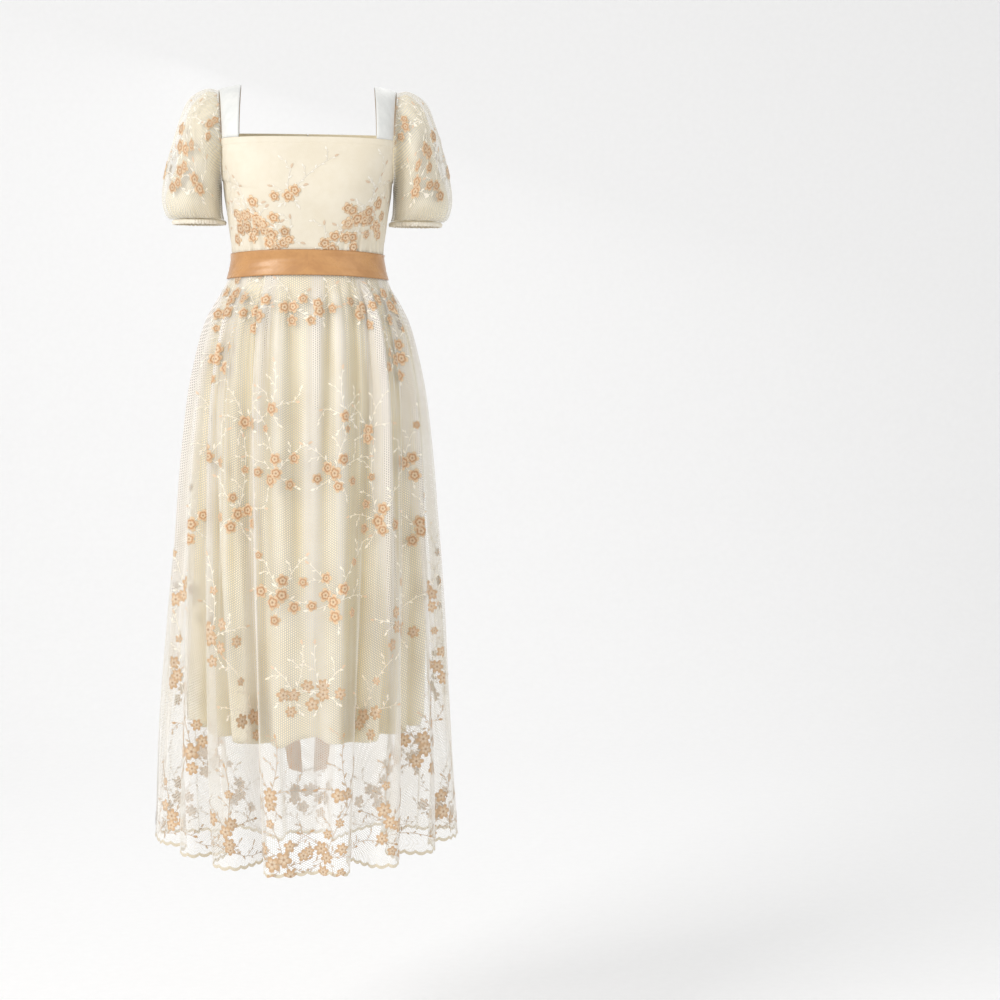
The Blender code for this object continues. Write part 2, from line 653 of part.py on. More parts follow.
def build_zip():
    """Tape inside the back, slider at the top of the closed zip, and its pull on a hinge."""
    up = np.linspace(0.985, 0.0, 9)
    centre = bodice_half(np.float64(0.0), up, True)
    inside = centre[:, 1] - TAPE_INSET
    across = np.array([ZIP_TAPE / 2, 0.0, -ZIP_TAPE / 2])
    tape = np.stack(np.broadcast_arrays(across, inside[:, None], centre[:, 2:]), axis=-1)
    cloth("zip_tape", tape, TULLE, "zip_tape")

    top = BACK_NECK - SLIDER_TOP_DROP
    face = through(BODICE_LEVELS, "back", np.float64(top)) + SLIDER_OFF_BACK
    front = face + SLIDER_THICK
    slider = box_mesh(
        "zip_slider",
        (-SLIDER_WIDTH / 2, face, top - SLIDER_HEIGHT),
        (SLIDER_WIDTH / 2, front, top),
        "dark_metal",
    )
    axis_y = front + BRIDGE_AXIS_OUT
    axis_z = top - SLIDER_HEIGHT / 2
    reach = axis_y + 2 * BRIDGE_WALL
    inner_half = BRIDGE_HALF_HEIGHT - BRIDGE_WALL
    bridge = box_mesh(
        "bridge_block",
        (-BRIDGE_WIDTH / 2, front - BRIDGE_ROOT, axis_z - BRIDGE_HALF_HEIGHT),
        (BRIDGE_WIDTH / 2, reach, axis_z + BRIDGE_HALF_HEIGHT),
        "dark_metal",
    )
    window = box_mesh(
        "bridge_window",
        (-BRIDGE_WIDTH, front - SEAM_GAP / 3, axis_z - inner_half),
        (BRIDGE_WIDTH, reach - BRIDGE_WALL, axis_z + inner_half),
        "dark_metal",
    )
    cut_from(bridge, window)
    join_to(slider, bridge)

    pull = box_mesh(
        "zip_pull",
        (-PULL_WIDTH / 2, -PULL_THICK / 2, -PULL_LENGTH),
        (PULL_WIDTH / 2, PULL_THICK / 2, PULL_THICK / 2),
        "white_pull",
    )
    hole = box_mesh(
        "pull_hole",
        (-PULL_WIDTH / 2 + PULL_HOLE_RIM, -PULL_THICK, -PULL_HOLE_HEIGHT),
        (PULL_WIDTH / 2 - PULL_HOLE_RIM, PULL_THICK, -PULL_THICK / 2),
        "white_pull",
    )
    hole.parent = pull
    cut_from(pull, hole)
    pull.location = (0.0, axis_y, axis_z)


def main():
    clear_scene()
    build_bodice()
    build_straps()
    build_sleeves()
    build_skirts()
    build_sash()
    build_bow()
    build_zip()


main()
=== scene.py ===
"""Looks of the regency gown: fine cloth, embroidery, ribbon and zip over the solid frame.

Metres, +Z up, front towards -Y, the wearer's left is +X. Every cloth piece is a grid of points with rows
from top to bottom and columns that run so that its normals face out. Angles round the gown are in degrees:
0 at the centre front, 90 at the wearer's left, 180 at the centre back. A length down a piece is its fall.
"""

import collections
import math

import bpy
import numpy as np
from mathutils import Euler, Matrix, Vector


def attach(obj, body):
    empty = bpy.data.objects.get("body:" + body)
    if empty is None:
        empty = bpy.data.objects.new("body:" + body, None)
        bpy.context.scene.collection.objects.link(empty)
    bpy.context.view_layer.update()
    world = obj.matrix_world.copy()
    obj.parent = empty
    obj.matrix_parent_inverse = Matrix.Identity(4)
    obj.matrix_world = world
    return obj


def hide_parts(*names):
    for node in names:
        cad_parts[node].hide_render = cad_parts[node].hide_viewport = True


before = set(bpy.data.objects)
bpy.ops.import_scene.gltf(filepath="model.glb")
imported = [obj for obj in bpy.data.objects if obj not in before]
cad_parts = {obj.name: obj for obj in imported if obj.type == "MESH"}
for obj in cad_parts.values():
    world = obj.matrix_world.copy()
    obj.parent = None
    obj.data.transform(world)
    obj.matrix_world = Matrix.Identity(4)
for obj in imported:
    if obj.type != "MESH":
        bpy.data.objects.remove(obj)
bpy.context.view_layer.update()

# The cut, as the solids have it
SEAM_GAP = 0.0003
TULLE = 0.0010
SATIN = 0.0012
FRONT_NECK = -0.0855
BACK_NECK = -0.0660
NECK_CORNER_DROP = 0.0025
WAIST = -0.2750
WAIST_BACK_DROP = 0.0120
FRONT_HEM = -1.2000
BACK_HEM = -1.2400
SIDE_HEM_LIFT = 0.0180
UNDER_SIDE_HEM = -1.0000
UNDER_FRONT_DROP = 0.0150
UNDER_BACK_DROP = 0.0300
ARMHOLE = np.array([0.1360, 0.0040, -0.0780])
ARMHOLE_BACK_OUT = 0.0045
ARMHOLE_TOP_OUT = 0.0025
ARMHOLE_HALF_DEPTH = 0.0640
ARMHOLE_HALF_HEIGHT = 0.0700
UNDERARM_ROW = 0.55
STRAP_INNER_X = 0.1045
STRAP_BACK_SHIFT = 0.0050
STRAP_LEAN_IN = 0.0035
STRAP_OUTER_DROP = 0.0080
RIBBON = 0.0390
SASH_GAP = 0.0013
SASH_AT_KNOT = 0.0160
KNOT = np.array([0.0180, 0.0130, 0.0170])
LOOP_LENGTH = 0.0930
LOOP_WIDTH = 0.0360
LOOP_WIDTH_AT_KNOT = 0.0130
LOOP_DROOP = math.radians(33.0)
LOOP_HALF_GAP = 0.0075
LOOP_AT_KNOT = 0.0020
LOOP_TIP_RADIUS = 0.0045
LOOP_CLEARANCE = 0.0020
ZIP_SLIT = 0.0012
BODICE_QUARTER = 0.1000
BODICE_BACK_SQUARE = 2.45
WAIST_SPREAD = 18.0
EARLY_FOLD = 0.58
UNDERSKIRT_FOLD_SHARE = 0.45
UNDER_HEM_NOTCH = 0.0170
LINING_DEPTH_SHARE = 0.6
LINING_INNER_INSET = 0.0034
LINING_HEAD_INSET = 0.055
CUFF_CENTRE_X = 0.1693
CUFF_HALF_WIDTH = 0.0392
CUFF_HALF_DEPTH = 0.0460
CUFF_TOP = -0.2094
CUFF_HEIGHT = 0.0072
TAIL_SLANT = 0.0070

Level = collections.namedtuple("Level", "z half_width front back square")
Fold = collections.namedtuple("Fold", "angle width depth start")
Ring = collections.namedtuple("Ring", "outer_x outer_z inner_x inner_z half_depth lining_inset")
TailRow = collections.namedtuple("TailRow", "z inner_x outer_x lift")
Crease = collections.namedtuple("Crease", "place width depth start end lean")
Sprig = collections.namedtuple("Sprig", "x z lean length flowers radius kind")

BODICE_LEVELS = [
    Level(-0.2900, 0.1178, 0.0978, 0.0985, 2.40),
    Level(-0.2750, 0.1175, 0.0980, 0.0988, 2.40),
    Level(-0.2550, 0.1185, 0.0988, 0.0992, 2.40),
    Level(-0.2150, 0.1235, 0.1130, 0.1012, 2.45),
    Level(-0.1700, 0.1300, 0.1262, 0.1040, 2.55),
    Level(-0.1300, 0.1335, 0.1235, 0.1056, 2.75),
    Level(-0.0855, 0.1335, 0.1060, 0.1056, 3.00),
    Level(-0.0600, 0.1335, 0.1000, 0.1050, 3.00),
]
SKIRT_LEVELS = [
    Level(-0.2700, 0.1172, 0.0978, 0.0985, 2.40),
    Level(-0.2950, 0.1228, 0.1020, 0.1050, 2.36),
    Level(-0.3590, 0.1490, 0.1210, 0.1290, 2.28),
    Level(-0.4050, 0.1620, 0.1340, 0.1440, 2.22),
    Level(-0.4760, 0.1780, 0.1500, 0.1620, 2.16),
    Level(-0.5520, 0.1880, 0.1640, 0.1760, 2.12),
    Level(-0.7020, 0.2010, 0.1830, 0.1960, 2.08),
    Level(-0.8790, 0.2150, 0.2010, 0.2120, 2.04),
    Level(-1.0400, 0.2280, 0.2140, 0.2240, 2.02),
    Level(-1.2500, 0.2400, 0.2260, 0.2360, 2.00),
]
UNDERSKIRT_LEVELS = [
    Level(-0.2700, 0.1146, 0.0950, 0.0958, 2.40),
    Level(-0.2950, 0.1200, 0.0990, 0.1018, 2.36),
    Level(-0.3590, 0.1420, 0.1110, 0.1170, 2.30),
    Level(-0.4050, 0.1545, 0.1205, 0.1275, 2.26),
    Level(-0.4760, 0.1665, 0.1325, 0.1405, 2.20),
    Level(-0.5520, 0.1725, 0.1410, 0.1500, 2.16),
    Level(-0.7020, 0.1780, 0.1530, 0.1620, 2.12),
    Level(-0.8790, 0.1810, 0.1600, 0.1690, 2.08),
    Level(-1.0400, 0.1830, 0.1650, 0.1740, 2.06),
]
# The great folds of the overskirt; a trough has a negative depth
FOLDS = [
    Fold(2.5, 5.5, -0.0120, 0.00),
    Fold(-12.0, 6.0, 0.0120, 0.00),
    Fold(12.5, 5.6, 0.0110, 0.02),
    Fold(-21.5, 3.6, -0.0760, 0.01),
    Fold(21.0, 3.8, -0.0740, 0.00),
    Fold(-32.0, 6.0, 0.0060, 0.12),
    Fold(33.0, 5.5, 0.0070, 0.08),
    Fold(-44.5, 4.4, -0.0620, 0.02),
    Fold(43.5, 4.7, -0.0640, 0.04),
    Fold(-66.0, 6.0, -0.0300, 0.10),
    Fold(68.0, 6.4, -0.0320, 0.07),
    Fold(-99.0, 11.0, 0.0090, 0.20),
    Fold(101.0, 12.0, 0.0090, 0.25),
    Fold(-121.0, 5.8, -0.0300, 0.08),
    Fold(119.0, 6.2, -0.0320, 0.10),
    Fold(-139.0, 4.3, -0.0500, 0.04),
    Fold(140.0, 4.5, -0.0520, 0.02),
    Fold(-150.0, 6.6, 0.0340, 0.05),
    Fold(150.5, 6.2, 0.0330, 0.04),
    Fold(-164.5, 5.8, -0.0740, 0.02),
    Fold(165.0, 6.0, -0.0720, 0.03),
    Fold(179.0, 8.0, -0.0180, 0.10),
]
SLEEVE_RINGS = [
    Ring(0.1600, -0.0075, 0.1345, -0.1590, 0.0700, 0.0060),
    Ring(0.1850, -0.0240, 0.1342, -0.1700, 0.0780, 0.0120),
    Ring(0.2010, -0.0600, 0.1338, -0.1800, 0.0820, 0.0165),
    Ring(0.2140, -0.1050, 0.1334, -0.1880, 0.0810, 0.0170),
    Ring(0.2245, -0.1500, 0.1330, -0.1940, 0.0770, 0.0100),
    Ring(0.2265, -0.1780, 0.1326, -0.1990, 0.0690, 0.0055),
    Ring(0.2195, -0.2010, 0.1318, -0.2045, 0.0560, 0.0045),
    Ring(0.2085, -0.2085, 0.1308, -0.2085, 0.0460, 0.0040),
]
TAIL_LEFT = [
    TailRow(-0.2975, -0.0050, 0.0075, 0.0040),
    TailRow(-0.3400, -0.0055, 0.0125, 0.0035),
    TailRow(-0.4000, -0.0040, 0.0185, 0.0030),
    TailRow(-0.4700, -0.0015, 0.0255, 0.0025),
    TailRow(-0.5950, 0.0010, 0.0320, 0.0025),
    TailRow(-0.7000, 0.0075, 0.0380, 0.0025),
    TailRow(-0.9000, 0.0110, 0.0405, 0.0030),
    TailRow(-1.0600, 0.0140, 0.0420, 0.0030),
    TailRow(-1.1350, 0.0100, 0.0330, 0.0030),
]
TAIL_RIGHT = [
    TailRow(-0.2975, -0.0045, 0.0080, 0.0068),
    TailRow(-0.3400, -0.0060, 0.0130, 0.0065),
    TailRow(-0.4000, -0.0060, 0.0185, 0.0062),
    TailRow(-0.4700, -0.0025, 0.0245, 0.0060),
    TailRow(-0.5950, 0.0020, 0.0325, 0.0045),
    TailRow(-0.7000, 0.0080, 0.0375, 0.0030),
    TailRow(-0.9000, 0.0120, 0.0395, 0.0025),
    TailRow(-1.0600, 0.0150, 0.0430, 0.0025),
    TailRow(-1.1350, 0.0095, 0.0330, 0.0030),
]
# Soft folds of both skirts between the great ones, by the angle at the hem and shares of the overskirt's fall
SKIRT_CREASES = [
    Crease(-4.5, 2.0, -0.0060, 0.02, 0.72, 0.35),
    Crease(6.0, 1.7, -0.0048, 0.02, 0.60, -0.30),
    Crease(-8.5, 2.6, 0.0046, 0.04, 1.10, 0.10),
    Crease(1.0, 2.4, 0.0040, 0.03, 0.95, 0.00),
    Crease(10.5, 2.5, 0.0048, 0.03, 1.05, -0.15),
    Crease(-14.0, 1.8, -0.0056, 0.02, 0.85, 0.20),
    Crease(15.5, 2.0, -0.0064, 0.02, 1.00, 0.00),
    Crease(-28.0, 2.5, 0.0062, 0.02, 1.05, 0.20),
    Crease(28.5, 2.3, 0.0054, 0.02, 0.90, -0.20),
    Crease(-34.0, 2.0, -0.0066, 0.02, 0.80, 0.10),
    Crease(36.0, 2.2, -0.0060, 0.02, 1.00, 0.20),
    Crease(-39.0, 2.2, 0.0044, 0.05, 1.10, 0.00),
    Crease(-52.0, 2.6, 0.0068, 0.02, 1.00, 0.30),
    Crease(52.5, 2.4, 0.0060, 0.02, 0.85, -0.30),
    Crease(-58.0, 2.5, -0.0076, 0.02, 1.00, -0.20),
    Crease(60.0, 2.6, -0.0072, 0.02, 1.05, 0.25),
    Crease(-75.0, 3.0, 0.0078, 0.02, 0.85, 0.35),
    Crease(77.0, 2.8, 0.0070, 0.02, 1.00, -0.30),
    Crease(-83.0, 2.6, -0.0070, 0.02, 1.05, 0.00),
    Crease(84.5, 2.8, -0.0076, 0.02, 0.95, 0.20),
    Crease(-91.5, 3.0, 0.0064, 0.03, 1.05, 0.15),
    Crease(93.5, 2.6, 0.0060, 0.02, 0.90, 0.00),
    Crease(-105.0, 2.8, -0.0078, 0.02, 0.90, -0.30),
    Crease(108.0, 3.0, -0.0070, 0.02, 1.05, 0.25),
    Crease(-113.0, 2.4, 0.0060, 0.02, 0.75, 0.00),
    Crease(128.0, 2.6, 0.0066, 0.02, 0.85, 0.20),
    Crease(-129.5, 2.4, 0.0064, 0.02, 1.00, -0.15),
    Crease(146.0, 2.0, -0.0050, 0.04, 0.80, 0.10),
    Crease(-146.0, 2.1, -0.0056, 0.02, 0.90, 0.00),
    Crease(156.0, 2.1, -0.0052, 0.08, 1.00, 0.15),
    Crease(-156.5, 1.9, -0.0048, 0.07, 0.85, 0.20),
    Crease(172.0, 2.2, -0.0046, 0.06, 0.95, 0.00),
    Crease(-172.5, 2.4, -0.0050, 0.10, 1.05, 0.15),
]


def power(value, exponent):
    """A signed power: the sign of the value times its size to the exponent."""
    return np.sign(value) * np.abs(value) ** exponent


def step(value, low, high):
    """A smooth step: 0 below low, 1 above high, 3t squared less 2t cubed between."""
    t = np.clip((value - low) / (high - low), 0, 1)
    return t * t * (3 - 2 * t)


def hump(value, centre, width):
    """A soft hump: e to the minus square of the distance from the centre over the width."""
    return np.exp(-(((value - centre) / width) ** 2))


def uneven(place, wave, seed):
    """Uneven soft waves: seven sines of about one wavelength, each with its own phase, added and halved."""
    rng = np.random.default_rng(seed)
    rates = 2 * np.pi / wave * rng.uniform(0.65, 1.4, 7)
    phases = rng.uniform(0, 2 * np.pi, 7)
    return np.sin(np.asarray(place)[..., None] * rates + phases).sum(axis=-1) / 3.5


def uneven_ring(turn, count, seed):
    """The same round a ring: the sines have whole numbers of waves near the count, so they close."""
    rng = np.random.default_rng(seed)
    rates = np.round(count * rng.uniform(0.65, 1.4, 7))
    phases = rng.uniform(0, 2 * np.pi, 7)
    return np.sin(np.radians(turn)[..., None] * rates + phases).sum(axis=-1) / 3.5


def through(levels, column, z):
    """A smooth curve through one column of a table of levels, read at heights z (cubic Hermite)."""
    order = sorted(levels, key=lambda level: level.z)
    knots = np.array([level.z for level in order])
    values = np.array([getattr(level, column) for level in order])
    slopes = np.gradient(values, knots)
    z = np.clip(z, knots[0], knots[-1])
    k = np.clip(np.searchsorted(knots, z) - 1, 0, len(knots) - 2)
    width = knots[k + 1] - knots[k]
    t = (z - knots[k]) / width
    rise = values[k + 1] - values[k]
    bend = (1 - t) * (slopes[k] * width - rise) - t * (slopes[k + 1] * width - rise)
    return values[k] + t * rise + t * (1 - t) * bend


def waist_height(angle):
    """The waist seam's height: it dips behind by the drop times half of 1 less the cosine's signed square."""
    ahead = np.cos(np.radians(angle))
    return WAIST - WAIST_BACK_DROP * (1 - ahead * np.abs(ahead)) / 2


def section(levels, angle, z):
    """Points of the superellipse at height z, and its outward normals."""
    turn = np.radians(angle)
    depth = np.where(np.cos(turn) > 0, through(levels, "front", z), through(levels, "back", z))
    width = through(levels, "half_width", z)
    share = 2 / through(levels, "square", z)
    x = width * power(np.sin(turn), share)
    y = -depth * power(np.cos(turn), share)
    out_x = power(np.sin(turn), 2 - share) / width
    out_y = -power(np.cos(turn), 2 - share) / depth
    size = np.hypot(out_x, out_y)
    return x, y, out_x / size, out_y / size


def around(angle, centre):
    """The difference of two angles, from -180 to 180 degrees."""
    return (angle - centre + 180) % 360 - 180


def fold_depth(angle, fall):
    """How far the overskirt stands out of its section: humps in the angle, each growing down the fall."""
    total = np.zeros(np.broadcast(angle, fall).shape)
    for fold in FOLDS:
        run = np.clip((fall - fold.start) / (1 - fold.start), 0, 1)
        grown = EARLY_FOLD * run**0.7 + (1 - EARLY_FOLD) * run**4
        total += fold.depth * grown * hump(around(angle, fold.angle), 0, fold.width)
    return total


def spread(angle, fall):
    """Folds lie further round from the centres at the waist: the angle plus a share of sin of twice it."""
    return angle + WAIST_SPREAD * (1 - fall) * np.sin(np.radians(2 * angle))


def hanging(levels, angle, fall, hem, share, extra=0.0):
    """A hanging skirt: section points at each height, moved out by the folds and the extra."""
    top = waist_height(spread(angle, 0.0)) - SEAM_GAP
    z = top + (hem - top) * fall
    x, y, out_x, out_y = section(levels, spread(angle, fall), z)
    out = fold_depth(angle, fall) * share + extra
    return np.stack(np.broadcast_arrays(x + out_x * out, y + out_y * out, z), axis=-1)


def overskirt(angle, fall, extra=0.0):
    """The overskirt: its hem drops behind by a squared cosine and lifts at the sides by a squared sine."""
    turn = np.radians(angle)
    behind = ((1 - np.cos(turn)) / 2) ** 2
    hem = FRONT_HEM + (BACK_HEM - FRONT_HEM) * behind + SIDE_HEM_LIFT * np.sin(turn) ** 2
    return hanging(SKIRT_LEVELS, angle, fall, hem, 1.0, extra)


def underskirt(angle, fall, extra=0.0):
    """The underskirt: its hem is shortest at the sides and drops with the squared cosine."""
    turn = np.cos(np.radians(angle))
    hem = UNDER_SIDE_HEM - np.where(turn > 0, UNDER_FRONT_DROP, UNDER_BACK_DROP) * turn**2
    return hanging(UNDERSKIRT_LEVELS, angle, fall, hem, UNDERSKIRT_FOLD_SHARE, extra)


def skirt_angles(first, last, count):
    """Columns between two angles, closer together where the folds are steep."""
    fine = np.linspace(first, last, 1441)
    steep = np.abs(np.gradient(fold_depth(fine, 1.0), fine))
    load = np.cumsum(0.0036 + steep)
    return np.interp(np.linspace(load[0], load[-1], count), load, fine)


def armhole(turn):
    """The armhole seam: an ellipse in depth and height, leaning with the body, by the angle from its top."""
    turn = np.radians(turn)
    lean = ARMHOLE_BACK_OUT * np.sin(turn) + ARMHOLE_TOP_OUT * np.cos(turn)
    parts = (lean, ARMHOLE_HALF_DEPTH * np.sin(turn), ARMHOLE_HALF_HEIGHT * np.cos(turn))
    return ARMHOLE + np.stack(parts, axis=-1)


def neck_turn(neck):
    """The angle at which the armhole meets a neckline of that height at its corner."""
    return math.degrees(math.acos((neck - NECK_CORNER_DROP - ARMHOLE[2]) / ARMHOLE_HALF_HEIGHT))


def bodice_half(across, up, back):
    """The bodice's left half: each row is a quarter superellipse from the centre to the side or armhole."""
    neck = BACK_NECK if back else FRONT_NECK
    centre_waist = waist_height(180.0 if back else 0.0)
    centre_z = centre_waist + (neck - centre_waist) * up
    underarm_z = ARMHOLE[2] - ARMHOLE_HALF_HEIGHT
    climb = np.minimum(up / UNDERARM_ROW, 1)
    side_z = waist_height(90.0) + (underarm_z - waist_height(90.0)) * climb
    above = np.clip((up - UNDERARM_ROW) / (1 - UNDERARM_ROW), 0, 1)
    turn = 180 - (180 - neck_turn(neck)) * above
    hole = armhole(turn if back else -turn)
    on_armhole = up > UNDERARM_ROW
    end_x = np.where(on_armhole, hole[..., 0], through(BODICE_LEVELS, "half_width", side_z))
    end_y = np.where(on_armhole, hole[..., 1], ARMHOLE[1] * climb)
    end_z = np.where(on_armhole, hole[..., 2], side_z)
    depth = through(BODICE_LEVELS, "back" if back else "front", centre_z) * (1 if back else -1)
    share = 2 / through(BODICE_LEVELS, "square", centre_z)
    quarter = across * math.pi / 2
    x = end_x * np.sin(quarter) ** share
    y = end_y + (depth - end_y) * np.cos(quarter) ** share
    z = end_z + (centre_z - end_z) * np.cos(quarter) ** 2
    return np.stack(np.broadcast_arrays(x, y, z), axis=-1)


def mirrored(grid):
    """The wearer's right from the left, with its columns turned round so that its normals still face out."""
    return grid[:, ::-1] * np.array([-1.0, 1.0, 1.0])


def smooth_rows(grid, places):
    """Rows read between those of a coarse grid, by a cubic Hermite curve with central slopes."""
    slopes = np.gradient(grid, axis=0)
    k = np.clip(np.floor(places).astype(int), 0, len(grid) - 2)
    t = (places - k)[:, None, None]
    rise = grid[k + 1] - grid[k]
    return grid[k] + t * rise + t * (1 - t) * ((1 - t) * (slopes[k] - rise) - t * (slopes[k + 1] - rise))


def normals_of(grid, closed=False):
    """Unit normals: the cross product of the steps down and along the grid."""
    if closed:
        along = np.roll(grid, -1, axis=1) - np.roll(grid, 1, axis=1)
    else:
        along = np.gradient(grid, axis=1)
    normal = np.cross(np.gradient(grid, axis=0), along)
    return normal / np.maximum(np.linalg.norm(normal, axis=2, keepdims=True), 1e-12)


def pushed(grid, out, closed=False):
    """The sheet moved along its normals by the distances given."""
    return grid + normals_of(grid, closed) * out[..., None]


def colour(red, green, blue):
    """A paint colour from its 0 to 255 display values, made linear."""
    return [
        ((part / 255 + 0.055) / 1.055) ** 2.4 if part > 10 else part / 3295 for part in (red, green, blue)
    ]


# --- Shader groups and materials ---


def add(tree, kind, inputs=(), **settings):
    """A shader node with its settings, and its inputs set to values or linked from sockets."""
    made = tree.nodes.new(kind)
    for name, value in settings.items():
        setattr(made, name, value)
    for name, value in dict(inputs).items():
        if isinstance(value, bpy.types.NodeSocket):
            tree.links.new(value, made.inputs[name])
        else:
            made.inputs[name].default_value = value
    return made


def maths(tree, operation, first, second=0.0, third=0.0):
    """One sum on one, two or three numbers or sockets; its output socket."""
    inputs = {0: first, 1: second, 2: third}
    if operation in ("SINE", "COSINE", "ABSOLUTE", "FRACT"):
        inputs = {0: first}
    return add(tree, "ShaderNodeMath", inputs, operation=operation).outputs[0]


def graded(tree, value, low, high, to_low=0.0, to_high=1.0):
    """A smooth step between two values, put out from to_low to to_high."""
    inputs = {"Value": value, 1: low, 2: high, 3: to_low, 4: to_high}
    made = add(tree, "ShaderNodeMapRange", inputs, interpolation_type="SMOOTHSTEP")
    return made.outputs[0]


def blended(tree, share, first, second):
    """Two colours mixed by a share from 0 to 1."""
    made = add(tree, "ShaderNodeMix", {0: share, 6: first, 7: second}, data_type="RGBA")
    return made.outputs[2]


def new_group(name, inputs, outputs):
    """An empty shader group with named sockets: (tree, inputs' sockets by name, output node)."""
    tree = bpy.data.node_groups.new(name, "ShaderNodeTree")
    for socket, kind, value in inputs:
        made = tree.interface.new_socket(socket, in_out="INPUT", socket_type=kind)
        if value is not None:
            made.default_value = value
    for socket, kind in outputs:
        tree.interface.new_socket(socket, in_out="OUTPUT", socket_type=kind)
    entry = tree.nodes.new("NodeGroupInput")
    return tree, entry.outputs, tree.nodes.new("NodeGroupOutput")


FLOAT, VECTOR = "NodeSocketFloat", "NodeSocketVector"


def net_group():
    """Hexagonal net: three cosines at 60 degrees added; high in the holes, low along the threads."""
    tree, given, out = new_group(
        "hexagonal_net", [("Vector", VECTOR, None), ("Pitch", FLOAT, 0.0016)], [("Thread", FLOAT)]
    )
    total = None
    for degrees in (0, 60, 120):
        turn = math.radians(degrees)
        way = (math.cos(turn), math.sin(turn), 0.0)
        along = add(tree, "ShaderNodeVectorMath", {0: given["Vector"], 1: way}, operation="DOT_PRODUCT")
        rate = maths(tree, "DIVIDE", 2 * math.pi, given["Pitch"])
        wave = maths(tree, "COSINE", maths(tree, "MULTIPLY", along.outputs["Value"], rate))
        total = wave if total is None else maths(tree, "ADD", total, wave)
    tree.links.new(graded(tree, total, -0.9, 0.9, 1.0, 0.0), out.inputs["Thread"])
    return tree


def weave_group():
    """Plain or satin weave: crossed sine threads, the weft's weaker than the warp's, as a height."""
    tree, given, out = new_group(
        "woven_threads",
        [("Vector", VECTOR, None), ("Warp Pitch", FLOAT, 0.0006), ("Weft Pitch", FLOAT, 0.0009),
         ("Weft Share", FLOAT, 0.6)],
        [("Height", FLOAT)],
    )
    parts = add(tree, "ShaderNodeSeparateXYZ", {0: given["Vector"]})
    waves = []
    for axis, pitch in (("X", "Warp Pitch"), ("Y", "Weft Pitch")):
        turns = maths(tree, "DIVIDE", parts.outputs[axis], given[pitch])
        wave = maths(tree, "SINE", maths(tree, "MULTIPLY", turns, 2 * math.pi))
        waves.append(maths(tree, "MULTIPLY_ADD", wave, 0.5, 0.5))
    height = maths(tree, "MULTIPLY_ADD", waves[1], given["Weft Share"], waves[0])
    tree.links.new(maths(tree, "MULTIPLY", height, 0.6), out.inputs["Height"])
    return tree


def cloud_group():
    """Soft uneven patches for cloth that isn't one flat tone: two scales of noise, from 0 to 1."""
    tree, given, out = new_group(
        "soft_patches", [("Vector", VECTOR, None), ("Scale", FLOAT, 20.0)], [("Patch", FLOAT)]
    )
    where = given["Vector"]
    broad = add(tree, "ShaderNodeTexNoise", {"Vector": where, "Scale": given["Scale"], "Detail": 3.0})
    finer = maths(tree, "MULTIPLY", given["Scale"], 6.0)
    fine = add(tree, "ShaderNodeTexNoise", {"Vector": where, "Scale": finer, "Detail": 2.0})
    mixed = maths(tree, "MULTIPLY_ADD", fine.outputs["Fac"], 0.35, broad.outputs["Fac"])
    tree.links.new(graded(tree, mixed, 0.45, 0.9), out.inputs["Patch"])
    return tree


GROUPS = {"net": net_group(), "weave": weave_group(), "cloud": cloud_group()}


def use_group(tree, name, **inputs):
    """A placed copy of a shared group; its input names have spaces for underscores."""
    made = tree.nodes.new("ShaderNodeGroup")
    made.node_tree = GROUPS[name]
    for key, value in inputs.items():
        socket = made.inputs[key.replace("_", " ")]
        if isinstance(value, bpy.types.NodeSocket):
            tree.links.new(value, socket)
        else:
            socket.default_value = value
    return made.outputs[0]


def new_material(name, **constants):
    """A material with its shader's constants set, its tree, and a function that feeds a socket."""
    made = bpy.data.materials.new(name)
    made.use_nodes = True
    tree = made.node_tree
    shader = tree.nodes["Principled BSDF"]
    for key, value in constants.items():
        shader.inputs[key.replace("_", " ")].default_value = value

    def feed(socket, value):
        tree.links.new(value, shader.inputs[socket])

    return made, tree, feed


def bumped(tree, height, strength, distance):
    """A height turned into a normal."""
    made = add(tree, "ShaderNodeBump", {"Height": height, "Strength": strength, "Distance": distance})
    return made.outputs[0]


def cloth_coordinates(tree):
    """The piece's own cloth coordinates in metres: along it and down it."""
    return add(tree, "ShaderNodeUVMap", uv_map="cloth").outputs[0]


ASLANT_COVER = 0.50
DOUBLED_COVER = 0.34
HEM_CORD = (0.0046, 0.0056)
HEM_CORD_COVER = 0.96
HEM_STITCH = 0.0011


